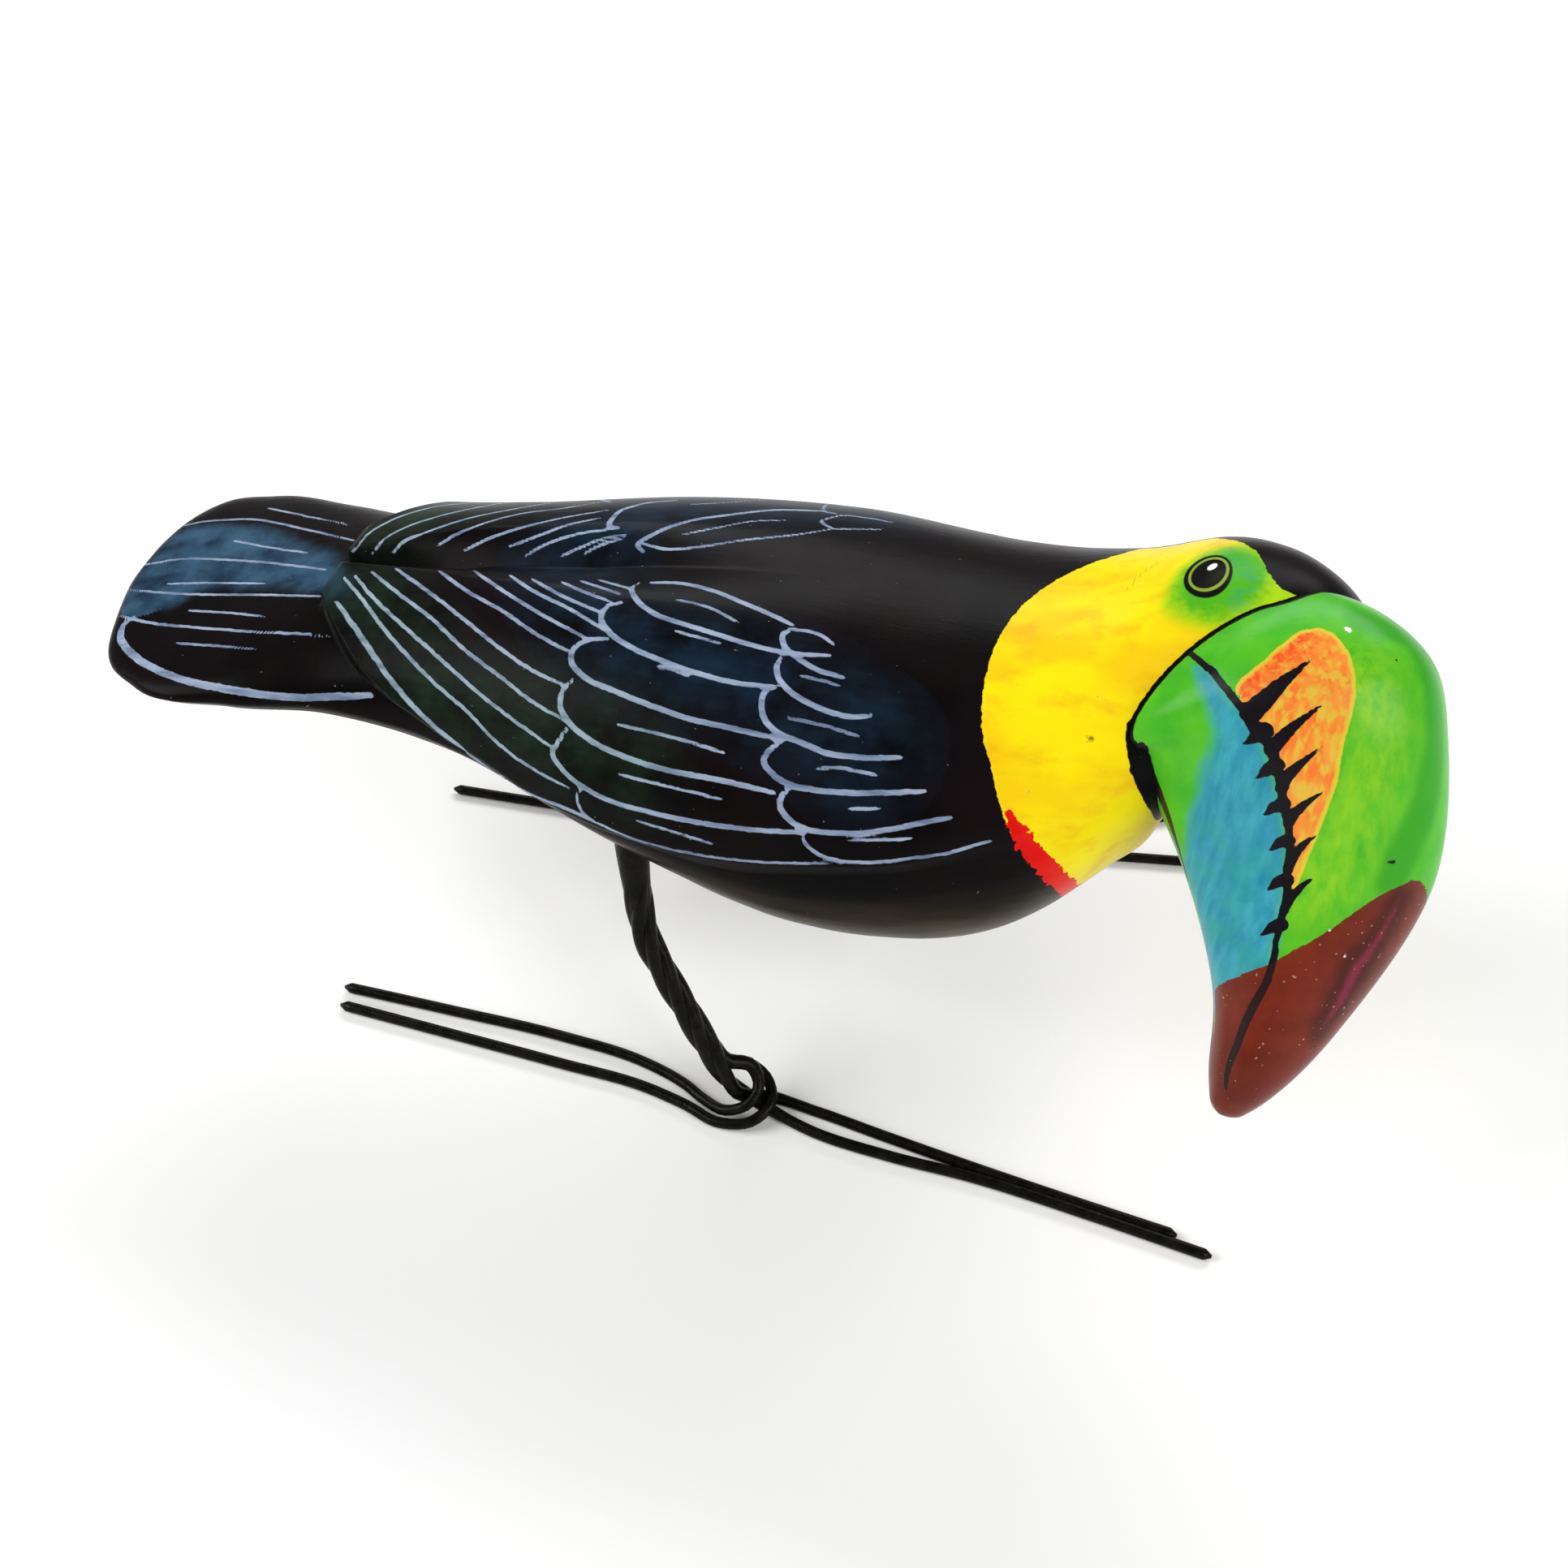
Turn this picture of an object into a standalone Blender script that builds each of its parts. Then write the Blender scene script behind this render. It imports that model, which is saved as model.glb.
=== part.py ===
"""A painted ceramic toucan figurine on two legs of twisted, black-painted wire.

Metres, +Z up, the beak towards +X and the figure's left towards +Y. The toes stand on z = 0, and
the origin is the middle of the figurine's box, on the ground.

The bird is one ceramic piece: a skin drawn through sections from the tail to the tip of the beak,
with the folded wings standing proud of the back. Its form is given in units, each a share of
LENGTH. Wires, seats and clearances are real sizes in metres.
"""

from math import ceil, pi

import bmesh
import bpy
import numpy as np

LENGTH = 0.201            # tail end to the front of the beak
TOE_WIRE = 0.00175        # one painted wire, across
TWIST_WIRE = 0.0023       # the same wire in the twist, where the paint lies thick between wires
SEAT_DEPTH = 0.005        # how far a leg goes up into the body
SEAT_GAP = 0.0003         # between a leg and its seat
WIRE_SIDES = 6
SEAT_SIDES = 14

DRAWN_LENGTH = 201.0
UNIT = LENGTH / DRAWN_LENGTH

# One section a row, in units: place along the form, centre x y z, pitch down, turn to the
# right, half width, height above and below the centre, and how square its upper and lower half are.
# The body runs from the tail's end to the front of the head, which the beak covers.
BODY = (
    (0.0, -99.7, 7.2, 57.0, -6, 0, 5.0, 1.2, 1.2, 2.5, 2.5),
    (0.25, -97.9, 7.6, 57.2, -6, 0, 12.8, 1.8, 1.7, 2.5, 2.5),
    (0.5, -94.8, 5.6, 57.5, -6, 0, 19.9, 2.3, 2.2, 2.5, 2.5),
    (1.0, -86.0, 2.9, 58.5, -6, 0, 25.2, 3.2, 3.0, 2.5, 2.5),
    (2.0, -70.0, 0.6, 60.4, -5, 0, 25.0, 5.0, 4.0, 2.4, 2.4),
    (3.0, -55.0, 0.8, 60.5, -3, 0, 22.7, 9.0, 6.0, 2.1, 2.1),
    (4.0, -35.0, 1.0, 59.0, 0, 0, 24.5, 15.5, 8.0, 2.2, 2.0),
    (5.0, -10.0, 0.5, 56.5, 0, 0, 31.5, 22.0, 15.0, 2.3, 2.0),
    (6.0, 15.0, 0.0, 55.5, 0, 0, 34.5, 25.0, 25.5, 2.3, 2.0),
    (7.0, 38.0, 0.0, 57.5, 3, 0, 32.0, 23.3, 29.5, 2.2, 2.0),
    (8.0, 55.0, 0.5, 61.0, 6, 3, 27.7, 26.0, 24.3, 2.1, 2.0),
    (8.5, 63.5, 1.0, 66.5, 8, 6, 23.0, 26.4, 24.3, 2.0, 2.0),
    (9.0, 70.0, -0.5, 73.0, 11, 10, 19.0, 22.0, 26.5, 2.0, 2.0),
    (9.4, 74.0, -3.0, 77.0, 16, 16, 16.6, 18.6, 23.6, 2.0, 2.0),
    (9.8, 78.6, -4.5, 79.0, 24, 22, 13.5, 14.4, 18.3, 2.0, 2.0),
    (10.2, 82.8, -6.3, 79.0, 33, 28, 9.2, 10.2, 12.5, 2.0, 2.0),
    (10.5, 84.4, -7.3, 78.5, 38, 32, 5.0, 6.0, 7.0, 2.0, 2.0),
)
BEAK = (
    (0.0, 66.0, -1.8, 75.5, 28, 38, 14.0, 18.5, 10.0, 1.7, 2.0),
    (0.4, 69.0, -4.8, 74.6, 29, 38, 17.8, 22.8, 14.8, 1.7, 2.2),
    (1.0, 73.8, -8.3, 76.8, 47, 38, 17.0, 23.3, 19.0, 2.0, 2.3),
    (2.0, 80.4, -12.8, 75.8, 70, 38, 15.0, 19.4, 21.1, 2.1, 2.2),
    (3.0, 84.4, -20.8, 61.3, 88, 38, 12.0, 17.0, 16.4, 2.0, 2.0),
    (4.0, 82.5, -32.0, 46.2, 103, 38, 8.3, 10.9, 6.8, 2.0, 2.0),
    (5.0, 80.2, -39.4, 37.0, 113, 38, 4.8, 5.5, 2.7, 2.0, 2.0),
    (5.5, 79.6, -42.1, 33.6, 118, 38, 1.6, 2.2, 1.2, 2.0, 2.0),
)

# The outer edge of a folded wing: degrees round from the middle of the back, at places along it.
WING_EDGE = (
    (0.0, 60), (1.6, 60), (2.3, 22), (2.72, 19), (3.0, 38), (3.3, 58), (3.6, 72), (4.0, 84),
    (4.5, 90), (5.0, 90), (5.5, 89), (6.2, 84), (6.7, 82), (7.3, 77), (8.2, 70),
)
# How far a wing stands proud of the body, in units, and how much of that the groove takes away.
WING_TIP = 2.66
WING_RISE = (
    (WING_TIP, 0.0), (2.72, 2.8), (3.2, 2.8), (4.0, 2.1), (5.0, 1.6), (6.0, 1.4), (6.8, 1.1),
    (7.5, 0.4), (8.0, 0.0),
)
WING_GROOVE = ((4.6, 1.0), (5.4, 0.4), (6.2, 0.0))
GROOVE_SHARE = 0.16       # of the way from the back's middle to the wing's edge
EDGE_STEP = 3.5           # degrees round, from the wing's edge to the foot of its step
PAST_EDGE = 14.0          # degrees round, from the wing's edge to the widest column at the least

# Columns of the body's mesh, as shares of the way to the wing's edge, on to the side, and below.
WING_COLUMNS = (0.0, 0.07, 0.16, 0.32, 0.5, 0.68, 0.85, 1.0)
SIDE_COLUMNS = (0.0, 0.5, 1.0)
BELLY_COLUMNS = (0.25, 0.5, 0.75, 1.0)
# Rows of the body's mesh: from each place on, this far apart.
BODY_ROWS = ((0.0, 0.25), (2.5, 0.07), (3.5, 0.25), (8.0, 0.17))
ROW_GAP = 0.03            # least distance of such a row from the two at the wings' tips
BEAK_ROW_STEP = 0.2
BEAK_SIDES = 24

# The leg's core of the figure's right leg, from its seat in the body down to the ankle, in units.
SHANK = (
    (-8.6, -23.8, 46.5), (-7.4, -26.0, 38.3), (-5.8, -28.0, 31.5), (-2.9, -29.0, 25.0),
    (0.4, -30.0, 18.9), (3.6, -30.7, 12.6), (6.6, -31.1, 7.4), (9.0, -31.3, 4.2),
)
SEAT_LEAN = (-0.06, 0.12, 1.0)   # which way a seat runs up into the body, of the right leg
STRAND_OFFSET = 0.45      # of a twisted wire's width, from the leg's middle to the wire's
TURNS = 1.6               # of the twist, from the ankle to the seat

# Each toe from its end to the ankle, seen from above, in units; heights are in wire widths.
# With it go the degrees round the leg where its wire joins the twist at the ankle, and how much
# of the twist's lowest part it leaves out.
TOES = (
    (((78.3, -39.8, 0.5), (62.9, -37.6, 0.5), (46.1, -35.0, 0.5), (32.0, -32.6, 0.5),
      (21.4, -30.7, 0.5), (14.5, -29.9, 0.7)), 200, 0.0),
    (((83.6, -42.2, 0.5), (66.0, -39.4, 0.5), (47.0, -36.9, 0.5), (34.0, -36.2, 0.5),
      (21.6, -34.6, 0.5), (14.5, -32.4, 0.7)), 290, 0.0),
    (((-60.6, -24.8, 0.5), (-41.5, -25.3, 0.5), (-22.5, -26.0, 0.5), (-7.6, -27.9, 0.5),
      (0.0, -30.6, 0.5), (4.0, -33.0, 0.6), (7.8, -34.8, 1.2), (11.2, -33.9, 2.1),
      (12.2, -31.2, 3.1), (10.6, -29.2, 4.0)), 110, 0.1),
    (((-59.7, -28.6, 0.5), (-39.8, -30.0, 0.5), (-20.5, -31.4, 0.5), (-6.2, -32.6, 0.5),
      (1.0, -34.4, 0.5), (7.4, -36.6, 0.6), (12.2, -35.6, 1.0), (14.4, -32.2, 1.7),
      (13.0, -29.0, 2.5), (9.8, -28.2, 3.5)), 20, 0.1),
)
# How far each toe of the left leg is spread outward at its end, in units.
LEFT_SPREAD = (0.0, 17.0, 0.0, 9.0)
WIRE_STEP = 0.0032        # between the rings of a wire in the twist
TOE_STEP = 0.0075         # and along its toe
LOOP_LENGTH = 0.026       # of a wire between its toe and the twist, bent round the ankle


def slopes(keys, values):
    """The slope at each key, from the runs before and after it."""
    step = np.diff(keys)[:, None]
    run = np.diff(values, axis=0) / step
    inner = (run[:-1] * step[1:] + run[1:] * step[:-1]) / (step[1:] + step[:-1])
    return np.vstack([run[:1], inner, run[-1:]])


def smooth_through(at, keys, values):
    """Values at the places 'at', on a smooth curve through the values at the keys."""
    keys = np.asarray(keys, float)
    values = np.asarray(values, float)
    slope = slopes(keys, values)
    i = np.clip(np.searchsorted(keys, at, side="right") - 1, 0, len(keys) - 2)
    step = (keys[i + 1] - keys[i])[:, None]
    t = (np.asarray(at, float)[:, None] - keys[i][:, None]) / step
    return (
        (2 * t**3 - 3 * t**2 + 1) * values[i]
        + (t**3 - 2 * t**2 + t) * step * slope[i]
        + (3 * t**2 - 2 * t**3) * values[i + 1]
        + (t**3 - t**2) * step * slope[i + 1]
    )


def read(pairs, at):
    """A value read off straight runs between the pairs."""
    places, values = zip(*pairs)
    return np.interp(at, places, values)


def section_frames(sections, at):
    """Centre, side and up directions and the shape numbers of the section at each place."""
    table = np.array(sections, float)
    values = smooth_through(at, table[:, 0], table[:, 1:])
    pitch = np.radians(values[:, 3])
    turn = np.radians(values[:, 4])
    ahead = np.stack([np.cos(pitch), np.zeros_like(pitch), -np.sin(pitch)], axis=-1)
    up = np.stack([np.sin(pitch), np.zeros_like(pitch), np.cos(pitch)], axis=-1)
    right = np.array([0.0, -1.0, 0.0])
    side = np.cos(turn)[:, None] * right - np.sin(turn)[:, None] * ahead
    return values[:, :3], side, up, values[:, 5:]


def skin(sections, at, angle, rise=0):
    """Points of a form: 'at' along it, 'angle' round from its back, 'rise' out of its skin."""
    centre, side, up, shape = section_frames(sections, at)
    half_width, above, below, square_above, square_below = (shape[:, [k]] for k in range(5))
    across = np.sin(angle)
    height = np.cos(angle)
    reach = np.where(height > 0, above, below)
    power = 2 / np.where(height > 0, square_above, square_below)
    x = half_width * np.sign(across) * np.abs(across) ** power
    y = reach * np.sign(height) * np.abs(height) ** power
    out = np.stack([x / half_width**2, y / reach**2], axis=-1)
    out /= np.linalg.norm(out, axis=-1, keepdims=True)
    x = x + rise * out[..., 0]
    y = y + rise * out[..., 1]
    return centre[:, None] + x[..., None] * side[:, None] + y[..., None] * up[:, None]


def wing_rise(at, share):
    """How far the wing stands proud, at a share of the way from the back's middle to its edge."""
    into_groove = np.clip(1 - share / GROOVE_SHARE, 0, 1) ** 1.5
    return read(WING_RISE, at)[:, None] * (1 - read(WING_GROOVE, at)[:, None] * into_groove)


def body_rows():
    """Where the body's rows lie, close together at the wings' tips."""
    starts = [start for start, _ in BODY_ROWS]
    ends = [*starts[1:], BODY[-1][0]]
    rows = [
        np.linspace(start, end, ceil((end - start) / step), endpoint=False)
        for (start, step), end in zip(BODY_ROWS, ends)
    ]
    rows = np.concatenate([*rows, ends[-1:]])
    tip_rows = [place for place, _ in WING_RISE[:2]]
    clear = np.all([np.abs(rows - place) > ROW_GAP for place in tip_rows], axis=0)
    return np.sort(np.concatenate([rows[clear], tip_rows]))


def body_points():
    """The body's mesh, whose columns follow the wings' edges on both sides."""
    at = body_rows()
    edge = np.radians(read(WING_EDGE, at))[:, None]
    foot = edge + np.radians(EDGE_STEP)
    side = np.maximum(edge + np.radians(PAST_EDGE), pi / 2)
    wing = np.array(WING_COLUMNS)
    angle = np.concatenate([
        wing * edge,
        foot + np.array(SIDE_COLUMNS) * (side - foot),
        side + np.array(BELLY_COLUMNS) * (pi - side),
    ], axis=1)
    rise = np.zeros_like(angle)
    rise[:, :len(wing)] = wing_rise(at, wing)
    # The back's and the belly's middle columns are shared, so the left side leaves them out.
    angle = np.concatenate([angle, -angle[:, -2:0:-1]], axis=1)
    rise = np.concatenate([rise, rise[:, -2:0:-1]], axis=1)
    return skin(BODY, at, angle, rise)


def beak_points():
    last = BEAK[-1][0]
    at = np.linspace(0, last, ceil(last / BEAK_ROW_STEP) + 1)
    angle = np.linspace(0, 2 * pi, BEAK_SIDES, endpoint=False)
    return skin(BEAK, at, np.broadcast_to(angle, (len(at), BEAK_SIDES)))


def skin_of_rings(bm, rings):
    """Joins rings of vertices with quads and closes both ends."""
    count = len(rings[0])
    for one, two in zip(rings, rings[1:]):
        for j in range(count):
            k = (j + 1) % count
            bm.faces.new((one[j], one[k], two[k], two[j]))
    bm.faces.new(rings[0][::-1])
    bm.faces.new(rings[-1])


def mesh_object(name, grid, material=None):
    """A closed object through a grid of points in metres, one ring a row."""
    bm = bmesh.new()
    rings = [[bm.verts.new(point) for point in ring] for ring in grid]
    skin_of_rings(bm, rings)
    bmesh.ops.recalc_face_normals(bm, faces=bm.faces)
    mesh = bpy.data.meshes.new(name)
    bm.to_mesh(mesh)
    bm.free()
    if material:
        mesh.materials.append(material)
    mesh.shade_smooth()
    obj = bpy.data.objects.new(name, mesh)
    bpy.context.scene.collection.objects.link(obj)
    return obj


def helper(obj):
    obj.hide_render = True
    obj.display_type = "WIRE"
    return obj


def combine(obj, other, operation):
    modifier = obj.modifiers.new(other.name, "BOOLEAN")
    modifier.operation = operation
    modifier.solver = "EXACT"
    modifier.object = other


def arc_lengths(points):
    return np.concatenate([[0], np.cumsum(np.linalg.norm(np.diff(points, axis=0), axis=1))])


def along(points, spacing):
    """Points on a smooth curve through the given ones, about 'spacing' apart."""
    points = np.asarray(points, float)
    keys = arc_lengths(points)
    count = max(2, ceil(keys[-1] / spacing) + 1)
    return smooth_through(np.linspace(0, keys[-1], count), keys, points)


def toe_and_twist(points, toe_length):
    """Points on a smooth curve through the given ones, further apart on the toe."""
    keys = arc_lengths(points)
    toe = np.linspace(0, toe_length, ceil(toe_length / TOE_STEP), endpoint=False)
    twist = np.linspace(toe_length, keys[-1], ceil((keys[-1] - toe_length) / WIRE_STEP) + 1)
    return smooth_through(np.concatenate([toe, twist]), keys, points)


def carried_frames(points, first_up):
    """Two directions square to the path at each point, carried along it without twisting."""
    tangents = np.gradient(points, axis=0)
    tangents /= np.linalg.norm(tangents, axis=1, keepdims=True)
    up = np.asarray(first_up, float)
    frames = []
    for tangent in tangents:
        up = up - tangent * (up @ tangent)
        up = up / np.linalg.norm(up)
        frames.append((np.cross(tangent, up), up))
    return frames


def tube(name, points, widths, sides, material=None):
    """A tube along the points, with a flat side facing down where the path lies level."""
    radii = widths / 2 / np.cos(pi / sides)
    angles = 2 * pi * (np.arange(sides) + 0.5) / sides
    rings = [
        [point + radius * (side * np.sin(a) - up * np.cos(a)) for a in angles]
        for point, radius, (side, up) in zip(points, radii, carried_frames(points, (0, 0, 1)))
    ]
    return mesh_object(name, rings, material)


def on_side(points, side):
    """The right leg's points, in units, turned to metres for the side -1, right, or 1, left."""
    points = np.array(points, float) * UNIT
    points[:, 1] *= -side
    return points


def seat_ends(side):
    """Where a leg's seat leaves the body's skin, and where the leg ends inside it."""
    foot = on_side(SHANK[:1], side)[0]
    lean = np.array(SEAT_LEAN) * (1, -side, 1)
    return foot, foot + lean / np.linalg.norm(lean) * SEAT_DEPTH


def twist_of(core, frames, start, side):
    """A strand's way round the leg's core, from the ankle up into the body."""
    angle = np.radians(start) - 2 * pi * TURNS * np.linspace(0, 1, len(core))
    offset = STRAND_OFFSET * TWIST_WIRE
    return np.array([
        point + offset * (-side * across * np.cos(a) + up * np.sin(a))
        for point, (across, up), a in zip(core, frames, angle)
    ])


def spread_out(toe, spread):
    """A toe's points moved outward, the more the further they are from the ankle."""
    toe = np.array(toe, float)
    way = (toe[:, 0] - toe[-1, 0]) / (toe[0, 0] - toe[-1, 0])
    toe[:, 1] -= spread * np.maximum(way, 0)**2
    return toe


def wires_of(side):
    """The four wires of a leg, each from its toe's end up into the body: points and widths."""
    foot, top = seat_ends(side)
    core = along(np.vstack([on_side(SHANK[::-1], side), top]), WIRE_STEP)
    frames = carried_frames(core, (1, 0, 0))
    wires = []
    for (toe, start, left_out), spread in zip(TOES, LEFT_SPREAD):
        toe = spread_out(toe, spread if side > 0 else 0)
        level = on_side(toe, side)
        level[:, 2] = toe[:, 2] * TOE_WIRE
        twist = twist_of(core, frames, start, side)[ceil(left_out * len(core)):]
        points = np.vstack([level, twist])
        joins = arc_lengths(points)[len(level)]
        path = toe_and_twist(points, joins - LOOP_LENGTH)
        reached = arc_lengths(path)
        widths = np.interp(reached, (joins - 3 * WIRE_STEP, joins - WIRE_STEP), (TOE_WIRE, TWIST_WIRE))
        # A wire's middle is never nearer the ground than half its width.
        path[:, 2] = np.maximum(path[:, 2], widths / 2)
        wires.append((path, widths))
    return wires


def leg(name, side, material):
    """Four wires twisted together, which part at the ankle into two toes ahead and two behind."""
    wires = [
        tube(f"{name}.wire_{k}", path, widths, WIRE_SIDES, material)
        for k, (path, widths) in enumerate(wires_of(side))
    ]
    whole = wires[0]
    whole.name = name
    for wire in wires[1:]:
        combine(whole, helper(wire), "UNION")
    return [whole, *wires[1:]]


def seat(name, side):
    """The hole that a leg goes up into, with its clearance all round."""
    foot, top = seat_ends(side)
    lean = (top - foot) / np.linalg.norm(top - foot)
    reach = TWIST_WIRE * (STRAND_OFFSET + 0.5 / np.cos(pi / WIRE_SIDES)) + SEAT_GAP
    outside = foot - lean * 2 * reach
    path = np.array([outside, foot, top + lean * 2 * SEAT_GAP])
    return helper(tube(name, path, np.full(len(path), 2 * reach), SEAT_SIDES))


def paint(name, colour, roughness):
    material = bpy.data.materials.new(name)
    material.use_nodes = True
    shader = material.node_tree.nodes["Principled BSDF"]
    shader.inputs["Base Color"].default_value = (*colour, 1)
    shader.inputs["Roughness"].default_value = roughness
    material.diffuse_color = (*colour, 1)
    return material


def box_centre(objects):
    points = np.array([vertex.co for obj in objects for vertex in obj.data.vertices])
    return (points.min(axis=0) + points.max(axis=0)) / 2


def figurine():
    glaze = paint("painted_ceramic", (0.03, 0.03, 0.035), 0.3)
    black = paint("painted_wire", (0.015, 0.015, 0.015), 0.4)
    bird = mesh_object("ceramic_toucan", body_points() * UNIT, glaze)
    beak = helper(mesh_object("beak", beak_points() * UNIT, glaze))
    combine(bird, beak, "UNION")
    legs = [*leg("right_leg", -1, black), *leg("left_leg", 1, black)]
    seats = [seat("right_seat", -1), seat("left_seat", 1)]
    for cutter in seats:
        combine(bird, cutter, "DIFFERENCE")
    middle = bpy.data.objects.new("toucan_figurine", None)
    bpy.context.scene.collection.objects.link(middle)
    x, y, _ = box_centre([bird, beak, *legs])
    middle.location = (-x, -y, 0)
    for obj in (bird, beak, *legs, *seats):
        obj.parent = middle


for existing in list(bpy.data.objects):
    bpy.data.objects.remove(existing)
figurine()
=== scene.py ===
"""The looks of a painted ceramic toucan figurine on legs of twisted, black-painted wire.

The ceramic is one body and one beak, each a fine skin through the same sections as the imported
model, in millimetres in the bird's own frame until it is placed. Paint is laid on as distances:
each vertex knows how far it is from a brush stroke or from the edge of a painted area, and the
materials turn those distances to colour. Strokes and edges are given where they are seen in the
reference view, and are cast from its camera onto the skin. The hidden side is the mirror image.
"""

from math import ceil, cos, pi, radians, sin

import bpy
import numpy as np
from mathutils import Matrix, Vector
from mathutils.bvhtree import BVHTree


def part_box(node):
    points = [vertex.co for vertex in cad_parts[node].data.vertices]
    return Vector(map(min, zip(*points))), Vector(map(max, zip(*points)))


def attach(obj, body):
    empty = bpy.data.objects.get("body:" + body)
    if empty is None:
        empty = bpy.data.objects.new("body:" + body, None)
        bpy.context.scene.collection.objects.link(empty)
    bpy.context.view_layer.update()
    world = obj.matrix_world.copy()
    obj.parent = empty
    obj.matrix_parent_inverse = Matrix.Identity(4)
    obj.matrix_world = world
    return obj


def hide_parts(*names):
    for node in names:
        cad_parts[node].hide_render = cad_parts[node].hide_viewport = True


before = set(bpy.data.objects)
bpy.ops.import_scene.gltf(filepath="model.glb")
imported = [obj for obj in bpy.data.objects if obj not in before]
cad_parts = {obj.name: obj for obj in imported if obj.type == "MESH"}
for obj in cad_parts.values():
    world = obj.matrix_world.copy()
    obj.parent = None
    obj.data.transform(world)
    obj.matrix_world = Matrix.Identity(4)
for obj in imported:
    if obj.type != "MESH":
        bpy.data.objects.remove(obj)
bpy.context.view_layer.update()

MM = 0.001

# The reference view: a square picture, its size and focal length in pixels.
PICTURE = 1932
FOCAL = 2400
ELEVATION = radians(43.0)
AZIMUTH = radians(14.2)
AIM = (0.0, 0.0, 56.0)  # a point of the bird, in mm, and where it is seen
AIM_PIXEL = (900, 860)
PIXELS_PER_MM = 8.2
SENSOR = 36.0
TRACK_STEP = 3  # pixels between the points of a stroke that are cast onto the skin
TOWARDS = np.array([cos(ELEVATION) * sin(AZIMUTH), -cos(ELEVATION) * cos(AZIMUTH), sin(ELEVATION)])
RIGHT = np.array([cos(AZIMUTH), sin(AZIMUTH), 0.0])
UP = np.array([-sin(ELEVATION) * sin(AZIMUTH), sin(ELEVATION) * cos(AZIMUTH), cos(ELEVATION)])
EYE_POINT = (
    np.array(AIM) + TOWARDS * (FOCAL / PIXELS_PER_MM)
    - RIGHT * (AIM_PIXEL[0] - PICTURE / 2) / PIXELS_PER_MM
    + UP * (AIM_PIXEL[1] - PICTURE / 2) / PIXELS_PER_MM
)

# One section a row: place along the form, centre x y z, pitch down, turn to the right, half
# width, height above and below the centre, and how square its upper and lower half are.
BODY = (
    (0.0, -99.7, 7.2, 57.0, -6, 0, 5.0, 1.2, 1.2, 2.5, 2.5),
    (0.25, -97.9, 7.6, 57.2, -6, 0, 12.8, 1.8, 1.7, 2.5, 2.5),
    (0.5, -94.8, 5.6, 57.5, -6, 0, 19.9, 2.3, 2.2, 2.5, 2.5),
    (1.0, -86.0, 2.9, 58.5, -6, 0, 25.2, 3.2, 3.0, 2.5, 2.5),
    (2.0, -70.0, 0.6, 60.4, -5, 0, 25.0, 5.0, 4.0, 2.4, 2.4),
    (3.0, -55.0, 0.8, 60.5, -3, 0, 22.7, 9.0, 6.0, 2.1, 2.1),
    (4.0, -35.0, 1.0, 59.0, 0, 0, 24.5, 15.5, 8.0, 2.2, 2.0),
    (5.0, -10.0, 0.5, 56.5, 0, 0, 31.5, 22.0, 15.0, 2.3, 2.0),
    (6.0, 15.0, 0.0, 55.5, 0, 0, 34.5, 25.0, 25.5, 2.3, 2.0),
    (7.0, 38.0, 0.0, 57.5, 3, 0, 32.0, 23.3, 29.5, 2.2, 2.0),
    (8.0, 55.0, 0.5, 61.0, 6, 3, 27.7, 26.0, 24.3, 2.1, 2.0),
    (8.5, 63.5, 1.0, 66.5, 8, 6, 23.0, 26.4, 24.3, 2.0, 2.0),
    (9.0, 70.0, -0.5, 73.0, 11, 10, 19.0, 22.0, 26.5, 2.0, 2.0),
    (9.4, 74.0, -3.0, 77.0, 16, 16, 16.6, 18.6, 23.6, 2.0, 2.0),
    (9.8, 78.6, -4.5, 79.0, 24, 22, 13.5, 14.4, 18.3, 2.0, 2.0),
    (10.2, 82.8, -6.3, 79.0, 33, 28, 9.2, 10.2, 12.5, 2.0, 2.0),
    (10.5, 84.4, -7.3, 78.5, 38, 32, 5.0, 6.0, 7.0, 2.0, 2.0),
)
BEAK = (
    (0.0, 66.0, -1.8, 75.5, 28, 38, 14.0, 18.5, 10.0, 1.7, 2.0),
    (0.4, 69.0, -4.8, 74.6, 29, 38, 17.8, 22.8, 14.8, 1.7, 2.2),
    (1.0, 73.8, -8.3, 76.8, 47, 38, 17.0, 23.3, 19.0, 2.0, 2.3),
    (2.0, 80.4, -12.8, 75.8, 70, 38, 15.0, 19.4, 21.1, 2.1, 2.2),
    (3.0, 84.4, -20.8, 61.3, 88, 38, 12.0, 17.0, 16.4, 2.0, 2.0),
    (4.0, 82.5, -32.0, 46.2, 103, 38, 8.3, 10.9, 6.8, 2.0, 2.0),
    (5.0, 80.2, -39.4, 37.0, 113, 38, 4.8, 5.5, 2.7, 2.0, 2.0),
    (5.5, 79.6, -42.1, 33.6, 118, 38, 1.6, 2.2, 1.2, 2.0, 2.0),
)
# The wing's edge in degrees from the back's middle, and how far the wing stands proud in mm, at
# places along the body. The groove between the wings is a share of that, its own depth first.
WING_EDGE = (
    (0.0, 60), (1.6, 60), (2.3, 22), (2.72, 19), (3.0, 38), (3.3, 58), (3.6, 72), (4.0, 84),
    (4.5, 90), (5.0, 90), (5.5, 89), (6.2, 84), (6.7, 82), (7.3, 77), (8.2, 70),
)
WING_TIP = 2.66
WING_RISE = (
    (WING_TIP, 0.0), (2.72, 2.8), (3.2, 2.8), (4.0, 2.1), (5.0, 1.6), (6.0, 1.4), (6.8, 1.1),
    (7.5, 0.4), (8.0, 0.0),
)
WING_GROOVE = ((4.6, 1.7), (5.4, 0.7), (6.2, 0.0))
GROOVE_SHARE = 0.16  # of the wing's breadth that slopes down into the groove
GROOVE_POWER = 1.5  # how much of the slope is near the groove's middle
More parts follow.
